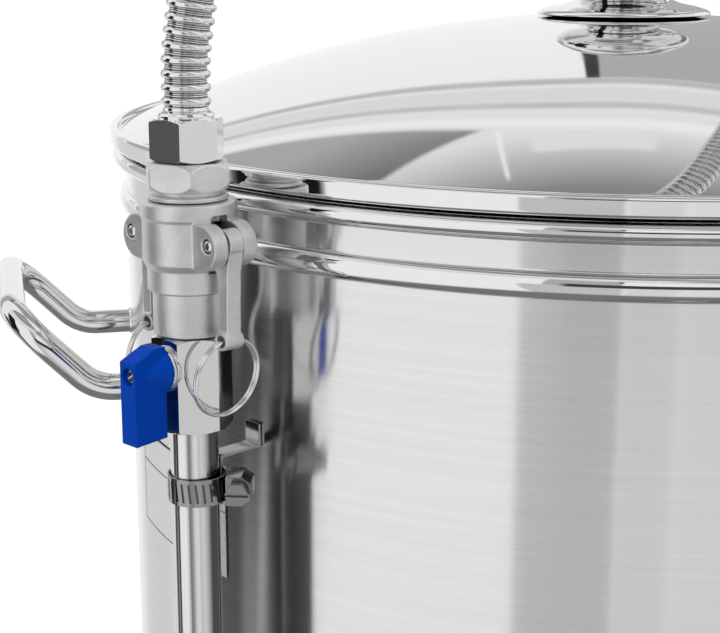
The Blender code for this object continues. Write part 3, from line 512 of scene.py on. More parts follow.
def combine(piece, tool, operation):
    """Joins, cuts or trims at once, and removes the tool."""
    step = piece.modifiers.new(operation.lower(), "BOOLEAN")
    step.operation = operation
    step.solver = "EXACT"
    step.object = tool
    name = piece.name
    made = to_mesh(piece)
    bpy.data.objects.remove(tool, do_unlink=True)
    made.name = name
    return made


def drill(piece, radius, start, end, facets=48, twist=0.0):
    """Cuts a round hole between two points."""
    return combine(piece, rod("drill", radius, start, end, facets, twist=twist), "DIFFERENCE")


def outline(name, points, low, high, soft=0.0):
    """A flat outline in X and Z, extruded along Y, with edges rounded inside its own size."""
    data = bpy.data.curves.new(name, "CURVE")
    data.dimensions = "2D"
    data.fill_mode = "BOTH"
    data.extrude = (high - low) / 2 - soft
    data.bevel_depth = soft
    data.offset = -soft
    data.bevel_resolution = 2
    spline = data.splines.new("POLY")
    spline.points.add(len(points) - 1)
    for point, (x, z) in zip(spline.points, points):
        point.co = (x, z, 0, 1)
    spline.use_cyclic_u = True
    made = put(to_mesh(new_object(name, data)), (0, (low + high) / 2, 0), QUARTER, "X")
    for face in made.data.polygons:
        face.use_smooth = True
    if soft:
        face_normals(made)
    return made


def wire(name, points, radius, sides=8):
    """A round bar along a route."""
    data = bpy.data.curves.new(name, "CURVE")
    data.dimensions = "3D"
    data.bevel_depth = radius
    data.bevel_resolution = sides
    data.use_fill_caps = True
    spline = data.splines.new("POLY")
    spline.points.add(len(points) - 1)
    for point, where in zip(spline.points, points):
        point.co = (*where, 1)
    spline.use_smooth = True
    return new_object(name, data)


def bent(corners, radius, steps=12):
    """A route through corner points, with each corner rounded to the bend radius."""
    corners = [Vector(c) for c in corners]
    route = [corners[0]]
    for before, here, after in zip(corners, corners[1:], corners[2:]):
        a, b = (before - here).normalized(), (after - here).normalized()
        half = a.angle(b) / 2
        centre = here + (a + b).normalized() * (radius / math.sin(half))
        set_back = radius / math.tan(half)
        first, last = here + a * set_back - centre, here + b * set_back - centre
        swing, axis = first.angle(last), first.cross(last).normalized()
        for i in range(steps + 1):
            route.append(centre + Matrix.Rotation(swing * i / steps, 3, axis) @ first)
    route.append(corners[-1])
    return route


def melt(piece, voxel, rounds=3):
    """Turns sharp joins into the soft fillets of a casting."""
    skin = piece.modifiers.new("skin", "REMESH")
    skin.mode = "VOXEL"
    skin.voxel_size = voxel
    skin.use_smooth_shade = True
    ease = piece.modifiers.new("ease", "SMOOTH")
    ease.factor = 0.5
    ease.iterations = rounds
    return piece


def hexagon(name, across, low, high, bore, chamfer, twist, soft=0.00022):
    """A hexagonal nut on a vertical axis, its corners turned off at both ends."""
    corner, flat, spare = across / math.sqrt(3), across / 2, 0.001
    piece = rod(name, corner, (0, 0, low - spare), (0, 0, high + spare), 6, twist=twist)
    for face in piece.data.polygons:
        face.use_smooth = False
    wide = corner + spare
    slope = chamfer * (wide - flat) / (corner - flat)
    ends = [(0, high), (flat, high), (wide, high - slope), (wide, low + slope), (flat, low), (0, low)]
    piece = combine(piece, turned(name + "_ends", ends, 0, 64, ring=False), "INTERSECT")
    if bore:
        piece = drill(piece, bore, (0, 0, low - 0.01), (0, 0, high + 0.01))
    return soften(piece, soft, 2, 25) if soft else piece


# ---------------------------------------------------------------- hose
HOSE_D = 0.0158
HOSE_PITCH = 0.00416    # from one ridge to the next
HOSE_ROUTE = [
    (-0.1921, -0.1217, 0.0285), (-0.1911, -0.1219, 0.0500), (-0.1850, -0.1232, 0.0760),
    (-0.1665, -0.1270, 0.1010), (-0.1330, -0.1335, 0.1155), (-0.0930, -0.1410, 0.1180),
    (-0.0520, -0.1405, 0.1180), (-0.0170, -0.1235, 0.1180), (0.0130, -0.0930, 0.1170),
    (0.0400, -0.0570, 0.1170), (0.0680, -0.0130, 0.1170), (0.0960, 0.0380, 0.1170),
    (0.1220, 0.0860, 0.1150), (0.1460, 0.1300, 0.1030), (0.1590, 0.1540, 0.0810),
    (0.1638, 0.1632, 0.0530), (0.1645, 0.1645, 0.0200), (0.1645, 0.1645, -0.0197),
]


def even_route(points, spacing, steps=60):
    """Points evenly spaced on a smooth curve through the route's own points, and its length."""
    ends = [2 * points[0] - points[1], *points, 2 * points[-1] - points[-2]]
    fine = []
    for a, b, c, d in zip(ends, ends[1:], ends[2:], ends[3:]):
        for i in range(steps):
            fine.append(on_curve(a, b, c, d, i / steps))
    fine.append(points[-1])
    lengths = [0.0]
    for a, b in zip(fine, fine[1:]):
        lengths.append(lengths[-1] + (b - a).length)
    count, route, k = round(lengths[-1] / spacing), [], 0
    for i in range(count + 1):
        goal = lengths[-1] * i / count
        while k < len(lengths) - 2 and lengths[k + 1] < goal:
            k += 1
        share = (goal - lengths[k]) / (lengths[k + 1] - lengths[k])
        route.append(fine[k].lerp(fine[k + 1], min(1.0, share)))
    return route, lengths[-1]


def hose_radius(share):
    """The hose's radius at a share of its pitch: a round ridge, then a valley with two fine rings in it."""
    ridge, valley, seam, half = HOSE_D / 2, 0.00655, 0.00022, 0.33
    from_ridge = abs((share + 0.5) % 1.0 - 0.5)
    if from_ridge < half:
        return valley + (ridge - valley) * math.sqrt(1 - (from_ridge / half) ** 2)
    return valley + seam * math.sin(math.pi * (from_ridge - half) / (0.5 - half)) ** 2


def make_hose():
    """A corrugated stainless hose: ring after ring, on a frame carried smoothly along the route."""
    facets = 28
    half = [0.0, 0.03, 0.06, 0.085, 0.11, 0.14, 0.17, 0.19, 0.23, 0.30, 0.40]
    shares = half + [0.50] + [1.0 - share for share in reversed(half[1:])]
    points = [Vector((x, y, z + RIM_Z)) for x, y, z in HOSE_ROUTE]
    fine, length = even_route(points, HOSE_PITCH / 20)
    ridges = int(length / HOSE_PITCH)
    stretch = length / (ridges * HOSE_PITCH)
    stations = [(k + share) * HOSE_PITCH * stretch for k in range(ridges) for share in shares] + [length]
    shape = bmesh.new()
    side = Vector((1, 0, 0))
    rings, route = [], []
    step = length / (len(fine) - 1)
    for station in stations:
        k = min(int(station / step), len(fine) - 2)
        here = fine[k].lerp(fine[k + 1], station / step - k)
        along = (fine[min(k + 3, len(fine) - 1)] - fine[max(k - 2, 0)]).normalized()
        side = (side - along * side.dot(along)).normalized()
        other = along.cross(side)
        radius = hose_radius(station / (HOSE_PITCH * stretch) + 0.5)
        route.append(here)
        rings.append([
            shape.verts.new(here + radius * (math.cos(a) * side + math.sin(a) * other))
            for a in (2 * math.pi * k / facets for k in range(facets))
        ])
    for low, high in zip(rings, rings[1:]):
        for k in range(facets):
            shape.faces.new((low[k], low[(k + 1) % facets], high[(k + 1) % facets], high[k]))
    shape.faces.new(list(reversed(rings[0])))
    shape.faces.new(rings[-1])
    hose = smooth_object("corrugated_hose", shape)
    finish_piece(hose, POLISHED, "kettle", replaces=("recirculation_hose",))
    darken_creases(hose.data, shares, len(rings) - 1, facets)


def darken_creases(mesh, shares, bands, facets):
    """The creases beside each ridge and the valley's middle see little light."""
    mesh.materials.append(GROOVE)
    ends = shares[1:] + [1.0]
    for band in range(bands):
        k = band % len(shares)
        middle = (shares[k] + ends[k]) / 2
        from_valley = min(middle, 1.0 - middle)
        if from_valley < 0.03 or 0.14 < from_valley < 0.19:
            for face in mesh.polygons[band * facets:(band + 1) * facets]:
                face.material_index = 1


# ---------------------------------------------------------------- kettle body
BEAD_Z, BEAD_HALF, BEAD_OUT = RIM_Z - 0.0205, 0.0040, 0.0025


def make_shell():
    """The pot as one turned skin: floor, wall, bead and rolled rim."""
    wall, corner, rim_r, floor = 0.0012, 0.014, 0.0030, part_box("kettle_shell")[0].z
    low, inner = floor + wall, KETTLE_R - wall
    bead_angles = [math.radians(-90 + 15 * i) for i in range(13)]
    bead = [(math.cos(a), math.sin(a)) for a in bead_angles]
    within = [(0, low)] + arc(inner - corner, low + corner, corner, -90, 0, 8)
    within += [(inner + BEAD_OUT * c, BEAD_Z + BEAD_HALF * s) for c, s in bead]
    rim = arc(inner + rim_r, RIM_Z - 0.0004 - rim_r, rim_r, 180, -90, 20)
    above = [RIM_Z - 0.0069, RIM_Z - 0.0080, BEAD_Z + BEAD_HALF + 0.0008]
    below = [BEAD_Z - BEAD_HALF - 0.0005, BEAD_Z - BEAD_HALF - 0.0015, floor + 0.0200, floor + 0.0160]
    without = [(KETTLE_R, z) for z in above]
    without += [(KETTLE_R + BEAD_OUT * c, BEAD_Z + BEAD_HALF * s) for c, s in reversed(bead)]
    without += [(KETTLE_R, z) for z in below]
    without += arc(KETTLE_R - corner - wall, floor + corner + wall, corner + wall, 0, -90, 8)
    shell = turned("kettle_body", within + rim + without + [(0, floor)], 0, 256, ring=False)
    finish_piece(shell, WALL, "kettle", replaces=("kettle_shell",))
    make_rolled_rim(rim, inner)


def make_rolled_rim(rim, inner):
    """The rim and the bead are buffed brighter than the brushed wall."""
    skin, rim_r = 0.00012, 0.003
    x, z, grow = inner + 0.0030, RIM_Z - 0.0034, 1 + skin / rim_r
    over = [(x + (r - x) * grow, z + (h - z) * grow) for r, h in rim]
    over += [(KETTLE_R + 0.0002, RIM_Z - 0.0070), (inner + 0.0025, z)]
    finish_piece(turned("rolled_rim", over, 0, 256), MIRROR, "kettle")
    angles = [math.radians(90 - 12 * i) for i in range(16)]
    bead = [(KETTLE_R + (BEAD_OUT + skin) * math.cos(a), BEAD_Z + (BEAD_HALF + skin) * math.sin(a))
            for a in angles]
    bead += [(KETTLE_R - 0.0004, BEAD_Z - BEAD_HALF), (KETTLE_R - 0.0004, BEAD_Z + BEAD_HALF)]
    finish_piece(turned("rolled_bead", bead, 0, 256), MIRROR, "kettle")


def make_handle(node_name, side):
    """The bent rod, with the small weld collars where its legs meet the wall."""
    spread, low, high, knee, out = 0.051, RIM_Z - 0.080, RIM_Z - 0.052, 0.2195, 0.2475
    foot = math.sqrt(KETTLE_R**2 - spread**2) + 0.0012
    leg = [(foot, low), (knee, low), (out, high)]
    corners = [(x, -spread, z) for x, z in leg] + [(x, spread, z) for x, z in reversed(leg)]
    route = [(side * x, y, z) for x, y, z in bent(corners, 0.018, 14)]
    finish_piece(wire("loop_" + node_name, route, 0.0050, 10), POLISHED, "kettle", replaces=(node_name,))
    collar = [(0.0049, 0.0030), (0.0052, 0.0030), (0.0066, 0.0004), (0.0072, -0.0030), (0.0049, -0.0030)]
    for word, y in (("front", -spread), ("back", spread)):
        weld = turned(f"weld_{node_name}_{word}", collar, 0.0005, 48)
        finish_piece(put(weld, (side * foot, y, low), side * QUARTER, "Y"), POLISHED, "kettle")


def wall_patch(name, look, start, end, low, high, lift):
    """A thin curved patch on the wall's outside, between two angles and two heights."""
    steps, radius = 24, KETTLE_R + lift
    shape = bmesh.new()
    columns = []
    for i in range(steps + 1):
        angle = start + (end - start) * i / steps
        x, y = radius * math.cos(angle), radius * math.sin(angle)
        columns.append([shape.verts.new((x, y, RIM_Z + z)) for z in (low, high)])
    for left, right in zip(columns, columns[1:]):
        shape.faces.new((left[0], right[0], right[1], left[1]))
    finish_piece(smooth_object(name, shape), look, "kettle")


def make_label():
    """A plain foil label with hairline borders, behind the riser."""
    start, end = math.radians(-173.1), math.radians(-152.3)
    low, high, rule, lift, hair = -0.1409, -0.1040, -0.1160, 0.00030, 0.00035
    hair_turn = hair / KETTLE_R
    wall_patch("label_sheet", FOIL, start, end, low, high, lift)
    lines = {
        "low": (start, end, low, low + hair),
        "high": (start, end, high - hair, high),
        "left": (start, start + hair_turn, low, high),
        "right": (end - hair_turn, end, low, high),
        "middle": (start, end, rule - hair, rule),
    }
    for word, edges in lines.items():
        wall_patch("label_line_" + word, DARK_PRINT, *edges, lift * 1.3)


# ---------------------------------------------------------------- lid
def lid_height(radius):
    """The dome's height above the rim's plane, at a distance from its axis."""
    edge, edge_z, rise = 0.2020, 0.0060, 0.0435
    ball = (edge**2 + rise**2) / (2 * rise)
    return edge_z + math.sqrt(ball**2 - radius**2) - (ball - rise)


def make_lid():
    """The polished dome and the round ring that edges it."""
    thick, hole, edge, count = 0.0009, 0.0036, 0.2030, 48
    stations = [hole + (edge - hole) * i / count for i in range(count + 1)]
    over = [(r, lid_height(r)) for r in stations]
    under = [(r, lid_height(r) - thick) for r in reversed(stations)]
    finish_piece(turned("domed_lid", over + under, 0, 256), MIRROR, "lid", LID, ("lid_dome",))
    mid, half_w, low, high = LID_R - 0.0017, 0.0017, 0.0009, 0.0080
    section = arc(mid, high - half_w, half_w, 180, 0, 14) + arc(mid, low + half_w, half_w, 0, -180, 14)
    finish_piece(turned("lid_edge_ring", section, 0, 256), MIRROR, "lid", LID, ("lid_rim",))


def make_knob():
    """The knob: a stem flared over the dome, and a flat round top."""
    top = lid_height(0)
    flange_z, neck = lid_height(0.035) + 0.0007, 0.0130
    flare = flowing([
        (0.0149, top + neck + 0.0030), (0.0150, top + neck), (0.0153, top + 0.0105), (0.0163, top + 0.0085),
        (0.0180, top + 0.0065), (0.0205, top + 0.0049), (0.0240, top + 0.0037), (0.0290, top + 0.0027),
        (0.0335, flange_z + 0.0019), (0.0370, flange_z + 0.0010)])
    base = [(0.0036, top + neck), *flare, (0.0349, flange_z + 0.0008), (0.0346, flange_z),
            (0.0200, lid_height(0.020) + 0.0003), (0.0036, top + 0.0003)]
    finish_piece(turned("knob_stem", base, 0, 128), MIRROR, "lid", LID, ("knob_base",))
    low = top + neck + 0.0003
    crown = flowing([
        (-0.0130, low + 0.0196), (0, low + 0.0205), (0.0130, low + 0.0196), (0.0230, low + 0.0160),
        (0.0282, low + 0.0095), (0.0277, low + 0.0050), (0.0230, low + 0.0015), (0.0160, low), (0.0100, low)])
    cap = crown + [(0.0036, low), (0.0036, low + 0.0090), (0, low + 0.0090)]
    finish_piece(turned("knob_top", cap, 0, 128, ring=False), MIRROR, "lid", LID, ("knob_cap",))


# ---------------------------------------------------------------- riser fittings
CAMERA_SIDE = 51.0    # degrees from the riser's outward axis to the side that the nuts' corners face
NUT_TWIST = math.radians(CAMERA_SIDE - 10.5)
NIPPLE_TWIST = math.radians(CAMERA_SIDE + 4.5)
VALVE_TWIST = math.radians(30)
PIN_T, PIN_Z, PIN_R = 0.0189, JOINTS["cam_right_swing"]["pos_m"][2] - RIM_Z, 0.0020
EYE_T, EYE_Z = 0.0186, JOINTS["ring_right_swing"]["pos_m"][2] - RIM_Z
COUPLER_LOW, BARREL_LOW, SKIRT_TOP = -0.0288, -0.0195, -0.0215
ADAPTER_LOW = -0.0430
VALVE_TOP, VALVE_LOW, VALVE_FLAT = -0.0433, -0.0743, 0.01125


def make_union_nut(name, matrix, low, high, twist, node_name):
    """A polished hexagonal nut with a thin rolled lip on top."""
    collar, inner, lip_r = 0.0022, 0.0062, 0.0089
    nut = hexagon(name, 0.0212, low, high - collar, 0.0070, 0.0010, twist)
    finish_piece(nut, BUFFED, "kettle", matrix, (node_name,))
    section = [(inner, high + 0.0012), (0.0070, high + 0.0012), (0.0073, high + 0.0002),
               (0.0085, high - 0.0006), (lip_r, high - 0.0014), (lip_r, high - collar - 0.0004),
               (inner, high - collar - 0.0004)]
    finish_piece(turned(name + "_lip", section, 0.0003, 72), MIRROR, "kettle", matrix)


def make_nipple():
    """The cast hexagon under the nut, on a round foot."""
    bore, low = 0.0058, 0.0002
    nipple = hexagon("cast_nipple", 0.0250, 0.0032, 0.0120, bore, 0.0022, NIPPLE_TWIST, soft=0)
    section = [(bore, 0.0040), (0.0108, 0.0040), (0.0108, 0.0020), (0.0126, 0.0016), (0.0126, low),
               (bore, low)]
    nipple = combine(nipple, turned("nipple_foot", section, 0.0002, 72), "UNION")
    finish_piece(melt(nipple, 0.00030, 4), CAST, "kettle", RISER, ("hose_nipple",))


def stadium(half_length, radius, centre, count=18):
    """A bar's outline with round ends."""
    right = arc(half_length - radius, centre, radius, -90, 90, count)
    return right + arc(-half_length + radius, centre, radius, 90, 270, count)


def across(half, y, z):
    """The two ends of a level line through the riser's side, symmetrical about its middle."""
    return (-half, y, z), (half, y, z)


def make_coupler():
    """The cast body: collar, barrel, two pairs of round ears and the skirt below."""
    collar, barrel, skirt, ear_inner, ear_outer = 0.0154, 0.0148, 0.0135, 0.0032, 0.0086
    section = [
        (0, -0.0001), (collar - 0.0004, -0.0001), (collar, -0.0006), (collar, -0.0048), (barrel, -0.0060),
        (barrel, BARREL_LOW + 0.0004), (skirt, SKIRT_TOP), (skirt, COUPLER_LOW + 0.0005),
        (skirt - 0.0005, COUPLER_LOW), (0, COUPLER_LOW)]
    body = turned("coupler_casting", section, 0.0004, 96, ring=False)
    for low, high in ((ear_inner, ear_outer), (-ear_outer, -ear_inner)):
        ears = outline("ears", stadium(0.0230, 0.0073, -0.0128), low, high)
        body = combine(body, put(ears, turn=-QUARTER), "UNION")
    for side in (-1, 1):
        near, far = sorted((side * 0.0110, side * 0.0300))
        slot = block("slot", (-ear_inner, near, SKIRT_TOP - 0.0003), (ear_inner, far, -0.0038))
        body = combine(body, slot, "DIFFERENCE")
        body = drill(body, PIN_R + 0.00035, *across(THROUGH, side * PIN_T, PIN_Z))
    body = drill(body, 0.0124, (0, 0, -0.0410), (0, 0, -0.0065), 72)
    body = drill(body, 0.0090, (0, 0, -0.0100), (0, 0, 0.0100))
    finish_piece(melt(body, 0.00030, 3), CAST, "kettle", RISER, ("camlock_coupler",))


def make_adapter():
    """The grooved spigot in the coupler, with its short thread into the valve."""
    bore, tip, groove, shank, foot = 0.0062, 0.0119, 0.0104, 0.0120, 0.0080
    section = [
        (bore, -0.0100), (0.0114, -0.0100), (tip, -0.0106), (tip, -0.0125), (groove, -0.0140),
        (groove, -0.0190), (tip, -0.0210), (shank, -0.0320), (shank, ADAPTER_LOW + 0.0003),
        (foot, ADAPTER_LOW), (foot, ADAPTER_LOW - 0.0014), (bore, ADAPTER_LOW - 0.0014)]
    finish_piece(turned("coupler_spigot", section, 0.0005), CAST, "kettle", RISER, ("camlock_adapter",))


def make_cam_arm(word, side):
    """A cast cam lever with a tube-like eye across its lower end."""
    half, head, out, inner = 0.0028, 0.0046, 0.0020, -0.0018
    foot = EYE_Z - PIN_Z - 0.0011
    points = [
        (out, foot), (out + 0.0003, -0.0180), (out + 0.0006, -0.0090), *arc(0, 0, head, -35, 172, 24),
        (-0.0068, -0.0024), (-0.0069, -0.0044), (-0.0040, -0.0068), (inner - 0.0007, -0.0098),
        (inner, -0.0118), (inner, foot)]
    arm = put(outline("cam_lever_" + word, points, -half, half), turn=QUARTER)
    if side < 0:
        put(arm, turn=math.pi)
    put(arm, (0, side * PIN_T, PIN_Z))
    arm = combine(arm, rod("boss", 0.0030, *across(0.0036, side * EYE_T, EYE_Z), twist=0.11), "UNION")
    arm = drill(arm, 0.0019, *across(THROUGH, side * EYE_T, EYE_Z), 32, 0.05)
    arm = drill(arm, PIN_R + 0.0003, *across(THROUGH, side * PIN_T, PIN_Z), 32)
    finish_piece(melt(arm, 0.00025, 4), CAST, "cam_lever_" + word, RISER, ("cam_arm_" + word,))


def make_pin(word, side):
    """A headless pin with a countersunk, slightly domed end at each ear."""
    half = [(0, 0.0085), (0.0010, 0.0085), (0.0017, 0.0082), (PIN_R, 0.0077)]
    section = half + [(r, -z) for r, z in reversed(half)]
    pin = turned("pivot_pin_" + word, section, 0.0002, 40, ring=False)
    put(pin, (0, side * PIN_T, PIN_Z), QUARTER, "Y")
    finish_piece(pin, TURNED, "kettle", RISER, ("cam_pin_" + word,))


def on_stem(x):
    """A point on the valve stem's axis."""
    return x, 0, STEM_Z


def make_split_ring(word, side):
    """A split ring: two turns of springy wire side by side, joined by a short step."""
    radius, wire_r, tilt, turns, count, hang = 0.0126, 0.00056, math.radians(8), 2.0, 160, 0.00025
    points = []
    for i in range(count + 1):
        a = 2 * math.pi * turns * i / count + math.pi * 0.55
        drop = radius * (1 - math.cos(a))
        step = side * 1.06 * wire_r * max(-1.0, min(1.0, 9 * (2 * i / count - 1)))
        y = side * EYE_T + step - side * math.tan(tilt) * drop
        points.append((radius * math.sin(a), y, EYE_Z + hang - drop))
    ring = wire("split_ring_" + word, points, wire_r)
    finish_piece(ring, POLISHED, "ring_" + word, RISER, ("pull_ring_" + word,))


def make_valve():
    """The hexagonal ball valve, the boss round its stem and the washer behind the lever."""
    body = hexagon("valve_hex", 2 * VALVE_FLAT, VALVE_LOW, VALVE_TOP, 0.0081, 0.0011, VALVE_TWIST)
    finish_piece(body, MIRROR, "kettle", RISER, ("valve_body",))
    boss = rod("stem_boss", 0.0074, on_stem(0.0100), on_stem(VALVE_FLAT + 0.0006), 64, soft=0.0003)
    finish_piece(boss, TURNED, "kettle", RISER)
    section = [(0.0029, 0.0014), (0.0060, 0.0014), (0.0074, 0.0003), (0.0074, -0.0003), (0.0029, -0.0003)]
    washer = put(turned("spring_washer", section, 0.0002, 64), on_stem(VALVE_FLAT + 0.0011), QUARTER, "Y")
    finish_piece(washer, MIRROR, "recirc_valve", RISER, ("valve_washer",))


def make_valve_handle():
    """The moulded lever: a sloping top, a cone round the stem and a sunk screw."""
    inner, outer, half, hole = 0.0136, 0.0260, 0.00375, 0.0029
    low, top_in, top_out = VALVE_LOW - 0.0012, STEM_Z + 0.0083, STEM_Z + 0.0046
    points = [(inner, low + 0.0008), (inner, top_in), (inner + 0.0040, top_in), (outer, top_out),
              (outer, low)]
    lever = outline("blue_lever", points, -half, half)
    hub = rod("hub", 0.0074, on_stem(inner - 0.0004), on_stem(outer - 0.0038), 64, end_radius=0.0034)
    lever = combine(lever, hub, "UNION")
    lever = drill(lever, hole, on_stem(outer - 0.0055), on_stem(outer + 0.01))
    lever = drill(lever, hole, on_stem(0), on_stem(outer - 0.0077), 32)
    finish_piece(melt(lever, 0.00026, 3), BLUE, "recirc_valve", RISER, ("valve_handle",))
    head = rod("lever_screw", 0.0024, on_stem(outer - 0.0052), on_stem(outer - 0.0012), soft=0.0006)
    for turn in (0.6, 0.6 + QUARTER):
        bar = block("cross", (outer - 0.0024, -0.0016, -0.0003), (outer - 0.0002, 0.0016, 0.0003))
        head = combine(head, put(bar, on_stem(0), turn, "X"), "DIFFERENCE")
    finish_piece(head, POLISHED, "recirc_valve", RISER, ("handle_screw",))


def make_riser_pipe():
    """The pipe from the pump: level under the base, then straight up into the valve."""
    pump_r, out_z = 0.0950, 0.0620 - RIM_Z
    pump_x, top = -(STEM_R - pump_r) + 0.0325, VALVE_LOW + 0.0090
    route = bent([(pump_x, 0, out_z), (0, 0, out_z), (0, 0, top)], 0.035, 20)
    pipe = wire("riser_pipe", route, PIPE_R, 14)
    finish_piece(pipe, PIPE_STEEL, "kettle", RISER, ("recirculation_pipe",))


def make_clamp_band(at):
    """The band, with slots pressed in all round for the worm."""
    inner, half, slots, deep, wide, slot_half = 0.00915, 0.0045, 26, 0.00035, 0.00040, 0.0032
    section = [(inner, half), (CLAMP_OUT, half), (CLAMP_OUT, -half), (inner, -half)]
    band = turned("hose_clamp_band", section, 0.00015, 104)
    for i in range(slots):
        slot = block("slot", (CLAMP_OUT - deep, -wide, -slot_half), (CLAMP_OUT + 0.001, wide, slot_half))
        around = Matrix.Rotation(2 * math.pi * (i + 0.5) / slots, 4, "Z")
        slot.data.transform(around @ Matrix.Rotation(0.10, 4, "X"))
        band = combine(band, slot, "DIFFERENCE")
    sunk = []
    for face in band.data.polygons:
        radius = Vector(face.center[:2]).length
        if inner + 0.0002 < radius < CLAMP_OUT - 0.0001 and abs(face.center.z) < slot_half + 0.0004:
            sunk.append(face)
    finish_piece(band, CLAMP_STEEL_DARK_REFLECTION, "kettle", at, ("clamp_band",))
    # The slots' sunk faces take the dark shadowed_groove steel: painted shade in the slots.
    band.data.materials.append(GROOVE)
    for face in sunk:
        face.material_index = 1


CLAMP_Z, CLAMP_SHIFT, CLAMP_OUT = -0.0950, -0.0010, 0.00985


def make_clamp():
    """A worm clamp: its slotted band, the worm's housing and a slotted hex-headed screw."""
    at = RISER @ Matrix.Translation((CLAMP_SHIFT, 0, CLAMP_Z))
    make_clamp_band(at)
    side = at @ Matrix.Rotation(math.radians(130), 4, "Z")
    low = CLAMP_OUT + 0.0003
    middle, shoulder, top = low + 0.0042, low + 0.0052, low + 0.0080
    points = [(low, -0.0050), (shoulder, -0.0050), (top, -0.0028), (top, 0.0028), (shoulder, 0.0050),
              (low, 0.0050)]
    house = outline("worm_housing", points, -0.0062, 0.0040)
    house = drill(house, 0.0031, (middle, -THROUGH, 0), (middle, THROUGH, 0))
    finish_piece(soften(house, 0.0003), CLAMP_STEEL_DARK_REFLECTION, "kettle", side, ("clamp_housing",))
    screw = rod("worm_screw", 0.0028, (middle, -0.0068, 0), (middle, 0.0075, 0), 32, soft=0.0003)
    screw = combine(screw, rod("head", 0.0041, (middle, -0.0100, 0), (middle, -0.0066, 0), 6), "UNION")
    slot = block("slot", (middle - 0.006, -0.0110, -0.0005), (middle + 0.006, -0.0088, 0.0005))
    screw = combine(screw, slot, "DIFFERENCE")
    finish_piece(soften(screw, 0.0003), CLAMP_STEEL_DARK_REFLECTION, "kettle", side, ("clamp_screw",))


def make_bracket():
    """The folded tab from the wall to the clamp."""
    wall, tab, thick, shelf = KETTLE_R + 0.0003 - STEM_R, -0.0082, 0.0010, -0.0860
    lip, foot = shelf + 0.0070, CLAMP_Z - 0.0080
    points = [(wall, lip), (wall, shelf - thick), (tab - thick, shelf - thick), (tab - thick, foot),
              (tab, foot), (tab, shelf), (wall + thick, shelf), (wall + thick, lip)]
    bracket = outline("folded_bracket", points, -0.0034, 0.0034, 0.0002)
    finish_piece(bracket, CLAMP_STEEL_DARK_REFLECTION, "kettle", RISER, ("pipe_bracket",))


def make_return():
    """The hose's far end: a union nut, a bend into the wall and a flange on the wall."""
    make_union_nut("return_union", RETURN, -0.0360, -0.0200, math.radians(10), "return_nut")
    wall, bend_z = KETTLE_R - RETURN_R, -0.0650
    end_x = KETTLE_R - 0.0012 - RETURN_R - 0.0060
    route = bent([(0, 0, -0.0363), (0, 0, bend_z), (end_x, 0, bend_z)], 0.014, 16)
    finish_piece(wire("return_bend", route, PIPE_R, 14), POLISHED, "kettle", RETURN, ("return_elbow",))
    section = [(0.0080, 0.0022), (0.0118, 0.0022), (0.0130, 0.0006), (0.0130, -0.0012), (0.0080, -0.0012)]
    flange = put(turned("return_flange", section, 0.0004, 72), (wall, 0, bend_z), QUARTER, "Y")
    finish_piece(flange, TURNED, "kettle", RETURN)


# ---------------------------------------------------------------- base, controls and tap
def make_base():
    """The skirt round the pump, with windows for the power inlet and the controls, and its feet."""
    low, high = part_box("base_housing")
    radius, inner = high.x, high.x - 0.0015
    section = [(inner, high.z), (radius, high.z), (radius, low.z), (inner, low.z)]
    skirt = turned("base_skirt", section, 0.0004, 256)
    inlet_body = block("window", (-0.0140, radius - 0.02, 0.0380), (0.0140, radius + 0.01, 0.0620))
    behind_box = block("window", (-0.0700, -radius - 0.01, 0.0260), (0.0700, -radius + 0.03, 0.0820))
    for window in (inlet_body, behind_box):
        skirt = combine(skirt, window, "DIFFERENCE")
    finish_piece(skirt, WALL, "kettle", replaces=("base_housing",))
    for name in ("foot_front_left", "foot_front_right", "foot_back_left", "foot_back_right"):
        a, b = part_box(name)
        hollow = a.z + 0.0020
        section = [(0, b.z), (0.0188, b.z), (0.0170, a.z), (0.0100, a.z), (0.0080, hollow), (0, hollow)]
        foot = turned("pad_" + name, section, 0.0010, 64, ring=False)
        put(foot, ((a.x + b.x) / 2, (a.y + b.y) / 2, 0))
        finish_piece(foot, RUBBER, "kettle", replaces=(name,))


def opening(front, corners, gap_x, gap_z, deep):
    """A block that cuts an opening in the control box's front, wider than the given box by its gaps."""
    low, high = corners
    return block("opening", (low.x - gap_x, front - 0.01, low.z - gap_z),
                 (high.x + gap_x, front + deep, high.z + gap_z))


def make_controls():
    """The control box with its display, keys and rocker opening."""
    low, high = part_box("control_box")
    front, back, pane = low.y, -0.170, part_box("display_window")
    box = block("control_case", (low.x, front, low.z), (high.x, back, high.z), 0.0045, 4)
    box = drill(box, 0.1991, (0, 0, -0.02), (0, 0, 0.14), 192)
    box = combine(box, opening(front, pane, 0.0003, 0.0003, 0.0030), "DIFFERENCE")
    keys = {}
    for name in NODES:
        if name.startswith("button_"):
            c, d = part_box(name)
            keys[name] = (c.x + d.x) / 2, (c.z + d.z) / 2
    for x, z in keys.values():
        box = drill(box, 0.0063, (x, front - 0.01, z), (x, front + 0.0080, z))
    box = combine(box, opening(front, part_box("rocker_switch"), 0.001, 0.0012, 0.0080), "DIFFERENCE")
    finish_piece(box, BLACK, "kettle", replaces=("control_box",))
    make_display(front, pane)
    section = [(0, 0.0014), (0.0040, 0.0018), (0.0052, 0.0016), (0.0058, 0.0008), (0.0058, -0.0044),
               (0, -0.0044)]
    for name, (x, z) in keys.items():
        cap = put(turned("cap_" + name, section, 0.0005, 64, ring=False), (x, front, z), QUARTER, "X")
        finish_piece(cap, WHITE, name.replace("button_", "key_"), replaces=(name,))


